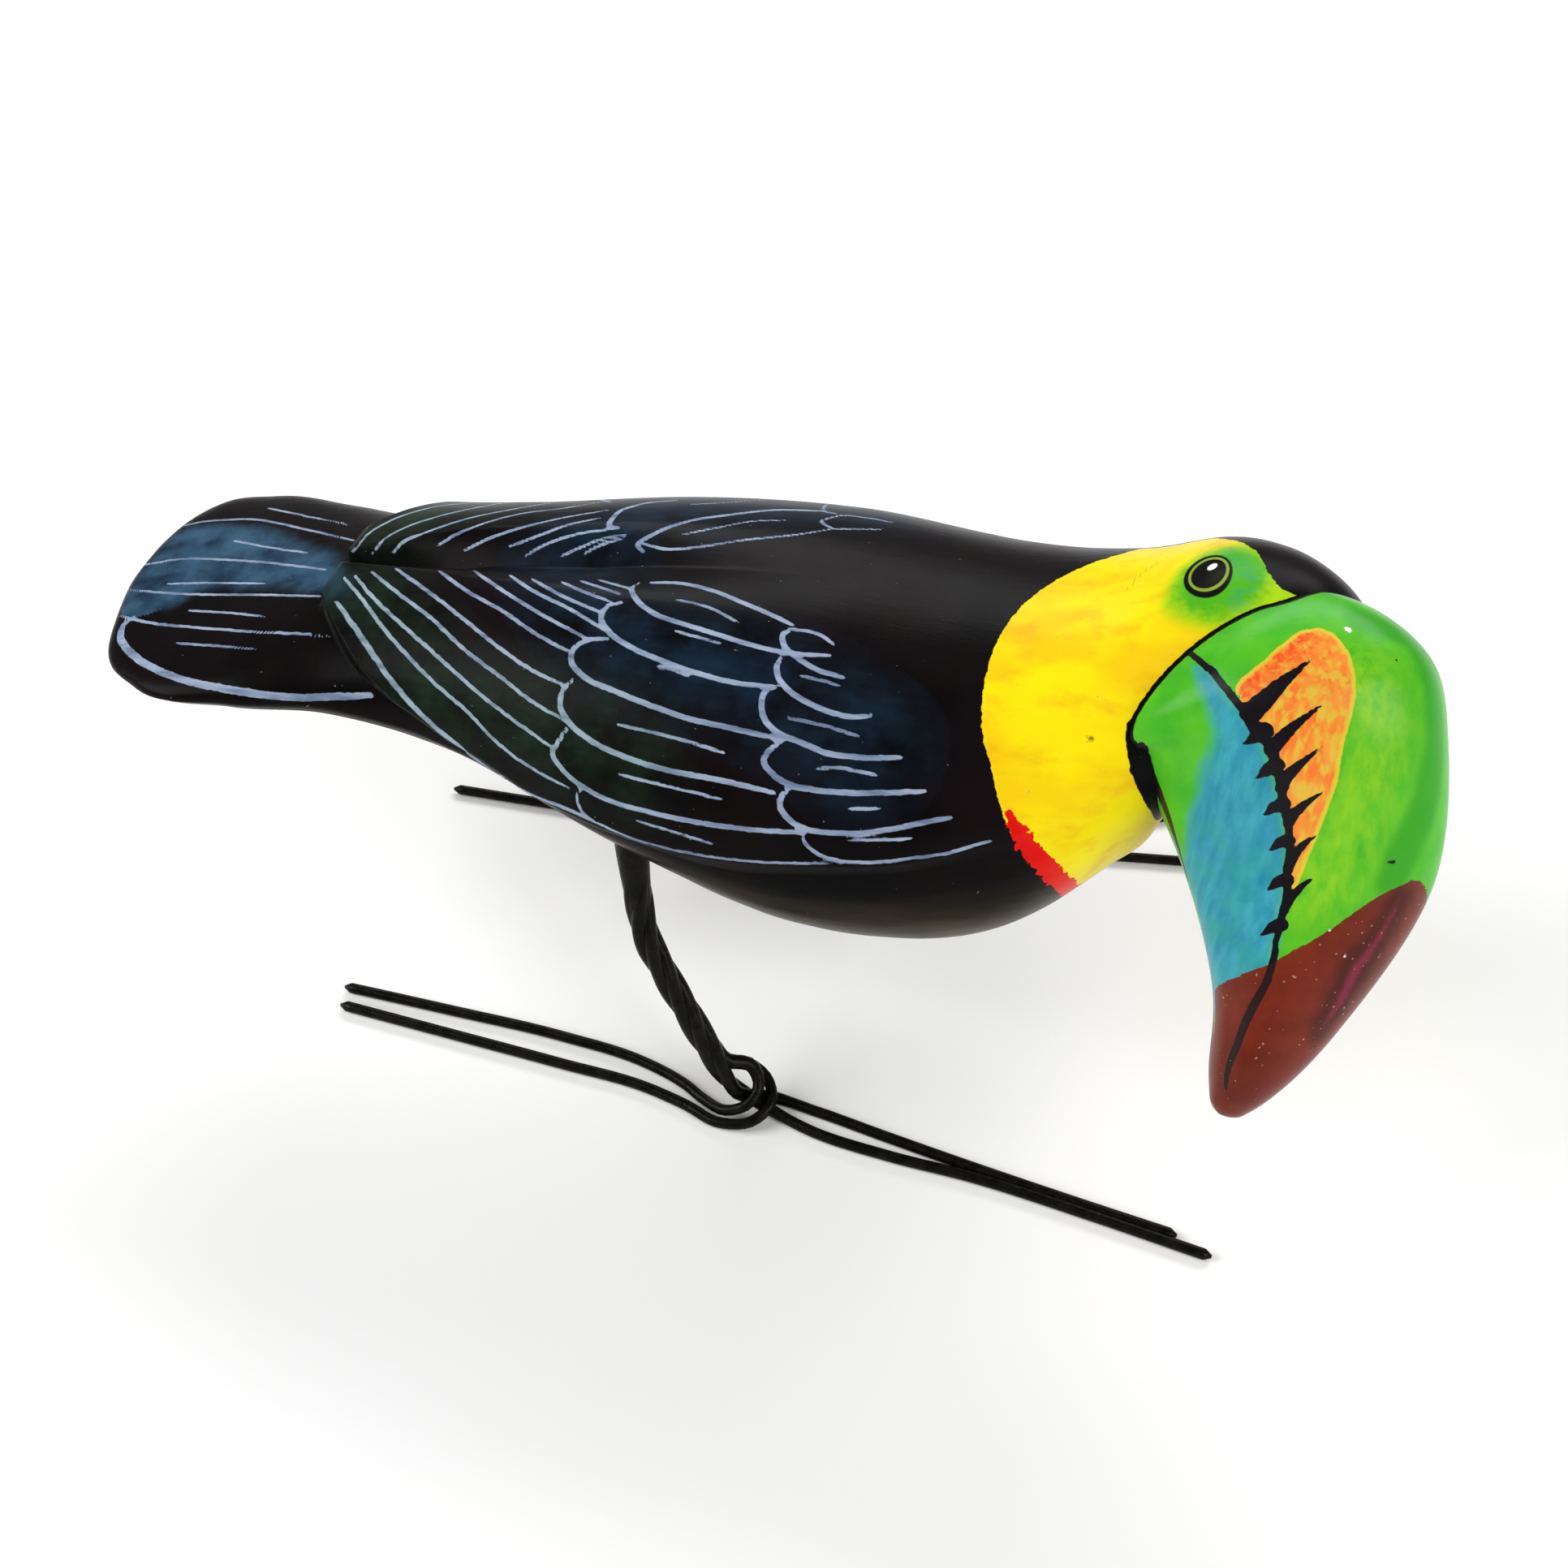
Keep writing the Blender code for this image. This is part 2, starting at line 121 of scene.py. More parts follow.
FOOT_STEP = ((2.4, 2.66), (0.6, 3.5))  # degrees from a wing's edge to its foot, at places
PAST_EDGE = 14.0  # degrees that the fine columns run on past the edge
WING_LIP = 0.03  # share of the wing that is rounded over at its edge
LIP_DROP = 0.45  # how far, as a share of a full quarter round

# The fine mesh: spacing of the rows in mm, and columns on each side. Its ends are rounded off.
BODY_STEP = 0.58
HEAD_STEP = 0.6
HEAD_FROM = 7.9
WING_COLUMNS = 102
SIDE_COLUMNS = 34
BELLY_COLUMNS = 13
BEAK_STEP = 0.36
BEAK_COLUMNS = 118
END_ROUND = 1.3  # mm by which the blunt ends are narrower
CLEAR_OF_TIP = 0.012  # places on both sides of the wing tip's own rows without others
TAIL_ROWS = (0.0, 0.004, 0.014)  # places of the rows that close the tail's end
TAIL_FROM = 0.03  # place where the even rows begin
TAIL_ROUND = 0.09  # places over which the ends are rounded off
TIP_ROUND = 0.16
# Samples from which lengths are added up, round a section and along a form.
RING_SAMPLES = 90
LENGTH_SAMPLES = 400

# Legs, in mm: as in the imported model.
SHANK = (
    (-8.6, -23.8, 46.5), (-7.4, -26.0, 38.3), (-5.8, -28.0, 31.5), (-2.9, -29.0, 25.0),
    (0.4, -30.0, 18.9), (3.6, -30.7, 12.6), (6.6, -31.1, 7.4), (9.0, -31.3, 4.2),
)
SEAT_LEAN = (-0.06, 0.12, 1.0)
SEAT_DEPTH = 5.0
STRAND_OFFSET = 0.45  # of a wire's width, from the middle of the twist
TURNS = 1.6
TOE_WIRE = 1.75
TWIST_WIRE = 2.3
# Each toe: points from its end to the ankle, with their height in wires, then where its wire
# starts round the twist, in degrees, and the share of the twist's foot that it leaves out.
TOES = (
    (((78.3, -39.8, 0.5), (62.9, -37.6, 0.5), (46.1, -35.0, 0.5), (32.0, -32.6, 0.5),
      (21.4, -30.7, 0.5), (14.5, -29.9, 0.7)), 200, 0.0),
    (((83.6, -42.2, 0.5), (66.0, -39.4, 0.5), (47.0, -36.9, 0.5), (34.0, -36.2, 0.5),
      (21.6, -34.6, 0.5), (14.5, -32.4, 0.7)), 290, 0.0),
    (((-60.6, -24.8, 0.5), (-41.5, -25.3, 0.5), (-22.5, -26.0, 0.5), (-7.6, -27.9, 0.5),
      (0.0, -30.6, 0.5), (4.0, -33.0, 0.6), (7.8, -34.8, 1.2), (11.2, -33.9, 2.1),
      (12.2, -31.2, 3.1), (10.6, -29.2, 4.0)), 110, 0.1),
    (((-59.7, -28.6, 0.5), (-39.8, -30.0, 0.5), (-20.5, -31.4, 0.5), (-6.2, -32.6, 0.5),
      (1.0, -34.4, 0.5), (7.4, -36.6, 0.6), (12.2, -35.6, 1.0), (14.4, -32.2, 1.7),
      (13.0, -29.0, 2.5), (9.8, -28.2, 3.5)), 20, 0.1),
)
LEFT_SPREAD = (0.0, 17.0, 0.0, 9.0)  # mm outward at the ends of the left leg's toes
WIRE_STEP = 1.1
WIRE_SIDES = 16
WIRE_END = 0.6  # mm over which a wire's end is rounded off
WIDTH_RAMP = (9.6, 3.2)  # mm below where a wire joins the twist
CORE_FROM = 0.06  # share of the shank where the paint between the wires begins
CORE_RADIUS = ((0, 1.35), (0.6, 1.62), (0.86, 2.5), (1, 2.75))  # its radius from there on up

# Enlargements of the reference view on which points are read: corner in pixels, and scale.
WHOLE = (0, 0, 1.0)
WING = (380, 580, 2.178)
FRONT = (900, 620, 2.8)
FAR = (400, 590, 2.6)
HEAD = (1180, 600, 2.904)
BILL = (1350, 700, 3.267)
TIP = (1400, 1000, 3.733)

# Half widths of the brush, in mm.
QUILL = 0.28
SCALLOP = 0.39
DASH = 0.25
TAIL_LINE = 0.28
TAIL_EDGE = 0.58
BRUSH = ((0, 0.75), (0.08, 1.05), (0.9, 0.95), (1, 0.7))  # its width along each stroke

# Strokes: the points of each, under their enlargement and half width.
TAIL_STROKES = {
    (WHOLE, DASH): (
        ((330, 626), (380, 636), (433, 646)),
        ((288, 666), (330, 674), (380, 681)),
        ((207, 719), (260, 718), (326, 719)),
        ((232, 752), (280, 755), (326, 760)),
        ((218, 792), (265, 796), (316, 800)),
    ),
    (WHOLE, TAIL_LINE): (
        ((213, 651), (250, 643), (288, 640), (316, 640), (350, 646), (387, 654), (436, 666)),
        ((176, 696), (218, 689), (288, 690), (340, 694), (402, 702)),
        ((158, 726), (200, 730), (246, 732), (320, 733), (398, 735)),
        ((145, 757), (180, 766), (232, 772), (316, 779), (406, 782)),
    ),
    (WHOLE, TAIL_EDGE): (
        ((165, 760), (152, 770), (149, 787), (160, 802), (176, 815), (218, 835), (288, 851),
         (358, 859), (429, 857), (458, 856)),
    ),
}
WING_STROKES = {
    (WING, SCALLOP): (
        ((75, 350), (150, 455), (210, 545), (300, 650), (400, 735), (500, 810), (600, 870),
         (700, 910), (760, 938)),
        ((920, 300), (1000, 302), (1080, 320), (1180, 360), (1250, 390), (1300, 415)),
        ((885, 300), (868, 318), (880, 345), (920, 378), (1020, 415), (1100, 440), (1180, 465),
         (1280, 488), (1400, 497)),
        ((840, 353), (800, 365), (785, 395), (805, 430), (860, 470), (950, 510), (1050, 545),
         (1150, 570), (1250, 580)),
        ((805, 450), (745, 455), (710, 480), (705, 510), (735, 548), (820, 590), (920, 630),
         (1020, 665), (1130, 690), (1270, 722)),
        ((708, 560), (680, 595), (675, 630), (700, 675), (760, 725), (850, 768), (950, 800),
         (1100, 830), (1250, 865)),
        ((692, 692), (668, 730), (655, 755), (680, 800), (740, 850), (820, 890), (900, 912),
         (1050, 945), (1200, 965), (1330, 972)),
    ),
    (WING, QUILL): (
        ((760, 938), (850, 980), (1000, 1022), (1150, 1045), (1300, 1054), (1430, 1052)),
        ((95, 285), (150, 350), (185, 400), (270, 500), (340, 570), (420, 640), (520, 740),
         (620, 810), (700, 852)),
        ((125, 280), (165, 330), (260, 420), (350, 500), (450, 590), (540, 660), (650, 740)),
        ((170, 270), (250, 335), (330, 395), (420, 480), (520, 555), (610, 625), (685, 668)),
        ((235, 262), (330, 330), (420, 400), (520, 480), (620, 545), (690, 575)),
        ((350, 268), (430, 325), (520, 375), (600, 430), (660, 465), (705, 487)),
        ((445, 268), (520, 320), (600, 370), (680, 415), (740, 445)),
        ((540, 280), (600, 320), (700, 370), (790, 425)),
        ((600, 290), (680, 335), (780, 378)),
        ((680, 298), (740, 325), (805, 348)),
        ((730, 295), (840, 332)),
        ((780, 293), (870, 318)),
        ((735, 840), (722, 870), (728, 905), (770, 945)),
    ),
    (WING, DASH): (
        ((985, 345), (1070, 365), (1155, 408)),
        ((985, 430), (1050, 448), (1105, 463)),
        ((935, 527), (980, 535), (1025, 553)),
        ((830, 680), (960, 710), (1115, 757)),
        ((830, 815), (960, 845), (1110, 883)),
        ((880, 940), (980, 970), (1085, 1002)),
    ),
    (FRONT, QUILL): (
        ((215, 435), (260, 440), (310, 455), (360, 490)),
        ((245, 1140), (260, 1175), (310, 1215), (380, 1235), (500, 1240), (620, 1228), (750, 1208),
         (900, 1165)),
    ),
    (FRONT, SCALLOP): (
        ((210, 435), (180, 455), (185, 490), (220, 525), (300, 575), (390, 602)),
        ((180, 530), (160, 560), (165, 600), (200, 645), (260, 685), (340, 720), (420, 738),
         (490, 733)),
        ((155, 635), (120, 650), (108, 690), (120, 750), (160, 790), (240, 825), (330, 862),
         (450, 878), (590, 880)),
        ((185, 815), (130, 860), (115, 885), (140, 930), (200, 970), (290, 990), (400, 1000),
         (540, 1000), (670, 995)),
        ((205, 985), (175, 1015), (170, 1040), (200, 1090), (260, 1125), (350, 1138), (450, 1140),
         (560, 1125), (660, 1105), (760, 1085)),
    ),
    (FRONT, DASH): (
        ((240, 597), (300, 608), (375, 630)),
        ((195, 740), (330, 770), (450, 808)),
        ((295, 915), (380, 915), (505, 940)),
        ((410, 1058), (520, 1052)),
        ((410, 1162), (520, 1162), (625, 1160)),
    ),
}
FAR_STROKES = {
    (FAR, QUILL): (
        ((88, 240), (130, 185), (210, 135), (330, 95), (480, 75)),
        ((155, 240), (185, 200), (250, 160), (350, 125), (500, 90), (640, 68), (780, 52)),
        ((218, 240), (250, 205), (330, 170), (450, 130), (600, 98), (740, 75), (880, 58)),
        ((362, 215), (420, 180), (520, 140), (640, 110), (760, 95), (880, 75)),
        ((447, 232), (520, 195), (620, 160), (740, 130), (910, 100)),
        ((590, 218), (680, 185), (780, 148), (885, 125)),
        ((643, 248), (700, 215), (800, 180), (925, 160)),
        ((755, 250), (820, 220), (900, 190), (965, 180)),
        ((832, 240), (880, 215), (960, 190)),
        ((1025, 210), (1090, 225), (1200, 218), (1350, 195), (1500, 180), (1630, 160)),
        ((1640, 112), (1597, 98), (1608, 82), (1650, 85), (1720, 96)),
        ((1625, 158), (1592, 138), (1640, 120), (1740, 125), (1820, 140)),
        ((1640, 160), (1780, 162)),
    ),
    (FAR, SCALLOP): (
        ((915, 74), (888, 66), (905, 54), (930, 44)),
        ((942, 158), (912, 152), (935, 112), (1000, 85), (1130, 68)),
        ((1022, 235), (1003, 215), (1050, 180), (1150, 140), (1300, 115), (1440, 100),
         (1600, 103)),
    ),
    (FAR, DASH): (
        ((1140, 180), (1250, 158), (1380, 135), (1480, 133)),
        ((1170, 82), (1300, 75), (1470, 62)),
    ),
}

# The yellow bib. Its edge on the near side from the crown down, then (place, degrees) beneath.
BIB_EDGE = (WHOLE, ((1600, 734), (1575, 722), (1562, 703), (1548, 680), (1528, 668), (1505, 664),
    (1450, 667), (1390, 680), (1330, 700), (1290, 722), (1250, 757), (1225, 800), (1212, 850),
    (1210, 900), (1222, 950), (1238, 1008), (1255, 1042), (1290, 1083), (1315, 1104)))
BIB_BENEATH = ((8.55, 150), (8.7, 180), (8.7, 200))
BIB_FRONT = ((10.5, 200), (10.5, 20))
# On the hidden side the cap reaches down as far as these.
FAR_BIB_EDGE = ((10.2, -62), (9.8, -60), (9.4, -58), (9.0, -58), (8.6, -60), (8.2, -68),
                (7.95, -82), (7.85, -100), (7.95, -120), (8.2, -138), (8.5, -155), (8.7, -180),
                (8.7, -200))
FAR_BIB_FRONT = ((10.5, -200), (10.5, -62))
RED_BAND = (WHOLE, ((1243, 1003), (1258, 1030), (1280, 1058), (1302, 1080), (1325, 1098)))
RED_WIDTHS = (0.5, 1.2, 1.45, 1.45, 1.45)
RED_BENEATH = ((8.68, 150), (8.82, 180))

EYE = (1488, 707)
EYE_TILT = 30.0  # degrees up to the right, in the picture
EYE_HALF = (32, 23)  # pixels, of the black outer ring
PATCH = (1504, 712)  # middle of the green round it
TEAL_RING = ((1478, 682), (1500, 674), (1522, 682), (1534, 700), (1538, 722), (1528, 740))
LIME = ((1545, 745), (1590, 738))
# The eye's rings in its own axes: middle, half sizes, start and end of the soft edge, colour.
EYE_RINGS = (
    (0, 0, 1, 1, 1.03, 0.97, "0a0909"),
    (0.05, -0.03, 0.84, 0.8, 1.03, 0.97, "86a536"),
    (0.05, -0.03, 0.73, 0.67, 1.03, 0.97, "090808"),
    (0.3, -0.2, 0.22, 0.15, 1.1, 0.85, "eef2f4"),
)
FAR_EYE_DROP = 55  # degrees by which the hidden side's eye sits lower

# Black paint on the beak, one stroke of it also painted shadow: points with the half width in the
# same pixels.
INK = {
    BILL: (
        ((345, 320, 10), (390, 350, 11), (430, 385, 11), (470, 420, 13), (520, 480, 12),
         (560, 535, 13), (600, 580, 16), (625, 615, 23), (645, 655, 22), (680, 690, 18),
         (708, 740, 19), (728, 800, 18), (742, 860, 16), (752, 920, 15), (765, 985, 16),
         (776, 1050, 14), (778, 1110, 12), (776, 1170, 13), (770, 1230, 13), (770, 1290, 14),
         (764, 1340, 12), (748, 1400, 13), (740, 1450, 11), (724, 1510, 10), (716, 1560, 9)),
        ((622, 588, 36), (665, 548, 34), (715, 500, 27), (770, 450, 18), (830, 400, 9),
         (882, 358, 1)),
        ((705, 735, 26), (730, 705, 25), (775, 660, 19), (830, 615, 12), (880, 577, 7),
         (920, 547, 1)),
        ((748, 890, 22), (762, 850, 23), (800, 812, 18), (850, 768, 10), (885, 740, 6),
         (915, 714, 1)),
        ((775, 1030, 18), (790, 1000, 20), (830, 962, 15), (870, 930, 9), (900, 912, 5),
         (928, 898, 1)),
        ((772, 1215, 18), (790, 1165, 20), (825, 1125, 14), (860, 1095, 8), (888, 1078, 1)),
        ((760, 1380, 14), (775, 1340, 18), (810, 1300, 14), (845, 1268, 9), (868, 1255, 5)),
        ((680, 660, 30), (640, 685, 19), (610, 703, 9), (590, 712, 2)),
        ((728, 795, 28), (690, 815, 22), (660, 838, 9), (638, 848, 2)),
        ((755, 950, 25), (715, 967, 20), (690, 986, 9), (672, 997, 2)),
        ((775, 1098, 24), (735, 1110, 18), (715, 1128, 9), (697, 1137, 2)),
        ((768, 1255, 26), (730, 1267, 19), (705, 1288, 9), (687, 1298, 2)),
        ((745, 1435, 26), (705, 1450, 18), (680, 1470, 9), (660, 1481, 3)),
        # Black paint with painted shadow down the underside below the beak's base.
        ((190, 720, 20), (209, 800, 34), (242, 876, 30), (284, 980, 22), (327, 1111, 14),
         (372, 1258, 6)),
        ((1322, 566, 7), (1323, 568, 7)),
        ((1208, 371, 5), (1212, 372, 4)),
    ),
    TIP: (
        ((640, 640, 13), (620, 720, 15), (590, 800, 16), (540, 890, 18), (495, 985, 18),
         (460, 1080, 18), (425, 1170, 16), (412, 1240, 13), (412, 1275, 8)),
        ((1155, 234, 5), (1185, 234, 8)),
        ((800, 1088, 5), (835, 1078, 4)),
    ),
}
# Chips of bare clay, given the same way, and so are the other marks below.
CHIPS = {
    BILL: (
        ((1008, 244, 9), (1018, 252, 13)),
    ),
    TIP: (
        ((884, 548, 4), (893, 544, 6)),
        ((960, 664, 8), (962, 660, 4)),
    ),
}
# The beak's painted areas, by their edges. Orange and teal meet along the mouth.
MOUTH = ((778, 1170), (772, 1050), (745, 880), (715, 780), (680, 700), (630, 620))
ORANGE = (BILL, ((560, 500), (575, 460), (610, 425), (680, 370), (760, 300), (830, 255),
    (890, 245), (950, 262), (1000, 310), (1030, 370), (1045, 440), (1045, 520), (1030, 600),
    (1000, 700), (985, 790), (960, 900), (930, 980), (900, 1060), (880, 1110), (850, 1180),
    (820, 1260), (795, 1305), (775, 1290), *MOUTH, (585, 560)))
TEAL = (BILL, ((385, 395), (405, 470), (440, 560), (470, 640), (455, 740), (420, 820), (390, 920),
    (370, 1020), (360, 1120), (350, 1200), (380, 1300), (420, 1460), (450, 1600), (500, 1800),
    (600, 1780), (735, 1500), (765, 1350), *MOUTH, (560, 530), (470, 420), (430, 390)))
# A painted highlight on the maroon tip: a purple streak down its ridge.
TIP_HIGHLIGHT = {
    TIP: (
        ((1210, 400, 14), (1150, 520, 24), (1090, 620, 32), (1010, 730, 40), (950, 850, 34),
         (880, 960, 22), (840, 1020, 8)),
    ),
}
# The edge of the maroon tip, then (place, degrees) that close it and that come before it.
TIP_EDGE = (TIP, ((360, 830), (385, 795), (430, 775), (520, 735), (610, 705), (700, 650),
    (790, 605), (880, 550), (960, 495), (1060, 425), (1150, 370), (1230, 335), (1270, 315),
    (1310, 325), (1330, 350)))
TIP_FRONT = ((5.5, -225), (5.5, 225))
TIP_BEFORE = ((4.55, 225), (4.5, 180))
# Painted shade: a strip of deeper green down the beak's outer side, where it turns away from the
# light.
SHADE_STRIP = {
    BILL: (
        ((1080, 130, 30), (1250, 260, 40), (1350, 450, 40), (1370, 650, 40), (1350, 850, 45),
         (1310, 1000, 50), (1240, 1150, 50), (1190, 1260, 40)),
    ),
}
# The edge of the blue on the tail.
BLUE_TAIL = (WHOLE, ((150, 748), (176, 692), (222, 655), (300, 648), (370, 665), (425, 700),
    (430, 722), (330, 722), (250, 728), (200, 750)))
# Soft tints: a line, and over how many mm they fade on both sides of it.
BLUE_WING = ((WHOLE, ((700, 700), (780, 790), (880, 820), (980, 860), (1060, 920))), 9.0)
BLUE_FAR = ((WHOLE, ((760, 640), (900, 630), (1000, 625))), 7.0)
GREEN_WING = ((WHOLE, ((430, 720), (480, 790), (560, 870), (680, 900), (760, 930))), 8.0)
WARM = ((BILL, ((1080, 480), (1120, 700), (1080, 900), (1000, 1100), (900, 1300))), 5.5)
RED_END = ((BILL, ((600, 470), (700, 390), (820, 300))), 3.0)
# The dot on the beak's tip, black paint with painted shadow beneath the beak's base, and a smudge
# on the belly.
GREEN_DOT = {
    TIP: (
        ((372, 1412, 6), (392, 1412, 8)),
    ),
}
BASE_SHADE = {
    WHOLE: (
        ((1391, 890, 2), (1396, 915, 7), (1404, 938, 11), (1411, 958, 12), (1420, 978, 11),
         (1432, 1003, 9), (1443, 1030, 6)),
    ),
}
BELLY_MARKS = {
    HEAD: (
        ((465, 893, 4), (485, 905, 8)),
    ),
}

# How much each surface reflects, where bare plastic has 0.5, and its relief in mm.
SURFACES = {
    "painted_ceramic_body": (0.035, 0.06),
    "painted_ceramic_beak": (0.15, 0.06),
    "painted_wire_black": (0.08, 0.16),
    "pale_floor": (0.2, 0.02),
}
# Degrees from the back's middle where a fade begins, and how many it takes: first the belly's
# olive paint, which is also a painted reflection of the floor, then the beak's teal.
OLIVE_AND_REFLECTION_FADE = (95, 40)
LOW_SIDE = (30, 15)
SHADE_STRIP_FADE = 1.5  # mm
CREASE_LINE = 0.45  # mm of black paint on each side of where head and bill meet
CREASE_REACH = 6.0  # mm round that line within which distances are worked out
WIDE_MARGIN = 4.0  # mm, the same round wide soft strokes
FAR_OFF = 12.0  # mm: further than this from a stroke or edge counts as this
AT_ONCE = 4000  # vertices worked out together, to save memory
SHORTEST_RUN = 8  # spots of a hidden stroke worth painting
EDGE_KEEPS = 3  # an area's edge keeps one in this many of the spots cast onto the skin
EDGE_STEP = 3  # rows or columns between the spots that it is measured from
SEEN_WITHIN = 1.0  # mm between a point and where the camera's ray meets the skin

FLOOR_HALF = 2500  # mm
WORLD_LIGHT = 0.25
# The studio's lamps: name, place, target, size in metres, and watts.
LIGHTS = (
    ("light_left", (-1.0, -0.35, 0.75), (0, 0, 0.05), (0.8, 0.8), 12),
    ("light_right", (1.0, -0.55, 0.7), (0, 0, 0.05), (0.8, 0.8), 10),
    ("light_back", (0.0, 0.9, 0.8), (0, 0, 0), (1.4, 0.4), 9),
)


def smooth_through(at, keys, values):
    """Values at the places 'at', on a smooth curve through the values at the keys."""
    keys = np.asarray(keys, float)
    values = np.asarray(values, float)
    gaps = np.diff(keys)[:, None]
    run = np.diff(values, axis=0) / gaps
    inner = (run[:-1] * gaps[1:] + run[1:] * gaps[:-1]) / (gaps[1:] + gaps[:-1])
    slope = np.vstack([run[:1], inner, run[-1:]])
    i = np.clip(np.searchsorted(keys, at, side="right") - 1, 0, len(keys) - 2)
    step = (keys[i + 1] - keys[i])[:, None]
    t = (np.asarray(at, float)[:, None] - keys[i][:, None]) / step
    return (
        (2 * t**3 - 3 * t**2 + 1) * values[i]
        + (t**3 - 2 * t**2 + t) * step * slope[i]
        + (3 * t**2 - 2 * t**3) * values[i + 1]
        + (t**3 - t**2) * step * slope[i + 1]
    )


def arc_lengths(points):
    return np.concatenate([[0], np.cumsum(np.linalg.norm(np.diff(points, axis=0), axis=1))])


def along(points, spacing):
    """Points on a smooth curve through the given ones, about 'spacing' apart."""
    points = np.asarray(points, float)
    keys = arc_lengths(points[:, :3])
    count = max(2, ceil(keys[-1] / spacing) + 1)
    return smooth_through(np.linspace(0, keys[-1], count), keys, points)


def read(pairs, at):
    """A value read off straight runs between the pairs."""
    places, values = zip(*pairs)
    return np.interp(at, places, values)


def section_frames(sections, at):
    """Centre, side and up directions and the shape numbers of the section at each place."""
    table = np.array(sections, float)
    values = smooth_through(at, table[:, 0], table[:, 1:])
    pitch = np.radians(values[:, 3])
    turn = np.radians(values[:, 4])
    ahead = np.stack([np.cos(pitch), np.zeros_like(pitch), -np.sin(pitch)], axis=-1)
    up = np.stack([np.sin(pitch), np.zeros_like(pitch), np.cos(pitch)], axis=-1)
    right = np.array([0.0, -1.0, 0.0])
    side = np.cos(turn)[:, None] * right - np.sin(turn)[:, None] * ahead
    return values[:, :3], side, up, values[:, 5:]


def skin(sections, at, angle, rise=0, round_off=1.0):
    """Points of a form: 'at' along it, 'angle' round from its back, 'rise' out of its skin."""
    centre, side, up, shape = section_frames(sections, at)
    half_width, above, below, square_above, square_below = (shape[:, [k]] for k in range(5))
    half_width = half_width - END_ROUND * (1 - round_off)
    across = np.sin(angle)
    height = np.cos(angle)
    reach = np.where(height > 0, above, below) * round_off
    power = 2 / np.where(height > 0, square_above, square_below)
    x = half_width * np.sign(across) * np.abs(across) ** power
    y = reach * np.sign(height) * np.abs(height) ** power
    out = np.stack([x / half_width**2, y / reach**2], axis=-1)
    out /= np.linalg.norm(out, axis=-1, keepdims=True)
    x = x + rise * out[..., 0]
    y = y + rise * out[..., 1]
    return centre[:, None] + x[..., None] * side[:, None] + y[..., None] * up[:, None]


def wing_rise(at, share):
    """How far the wing stands proud, at a share of the way from the back's middle to its edge."""
    into_groove = np.clip(1 - share / GROOVE_SHARE, 0, 1) ** GROOVE_POWER
    return read(WING_RISE, at)[:, None] * (1 - read(WING_GROOVE, at)[:, None] * into_groove)


def even_angles(sections, at, start, end, count):
    """Angles from start to end in each row, evenly spaced along the skin, both ends included."""
    share = np.linspace(0, 1, RING_SAMPLES)
    angle = start + share * (end - start)
    points = skin(sections, at, angle)
    steps = np.linalg.norm(np.diff(points, axis=1), axis=2)
    lengths = np.concatenate([np.zeros((len(at), 1)), np.cumsum(steps, axis=1)], axis=1)
    wanted = np.linspace(0, 1, count)
    return np.stack([
        np.interp(wanted * length[-1], length, row) for length, row in zip(lengths, angle)
    ])


def even_rows(sections, start, end, step):
    """Places from start to end whose sections' centres lie about 'step' mm apart."""
    fine = np.linspace(start, end, LENGTH_SAMPLES)
    lengths = arc_lengths(section_frames(sections, fine)[0])
    count = ceil(lengths[-1] / step) + 1
    return np.interp(np.linspace(0, lengths[-1], count), lengths, fine)


def both_sides(values, sign=1):
    """Adds the left side's columns to the right side's. The middle ones are shared."""
    return np.concatenate([values, sign * values[:, -2:0:-1]], axis=1)


def rounded(way, smallest):
    """Growth of a rounded end's sections over the way, from 0 at the end to 1."""
    return np.sqrt(np.maximum(1 - (1 - np.clip(way, 0, 1)) ** 2, smallest))


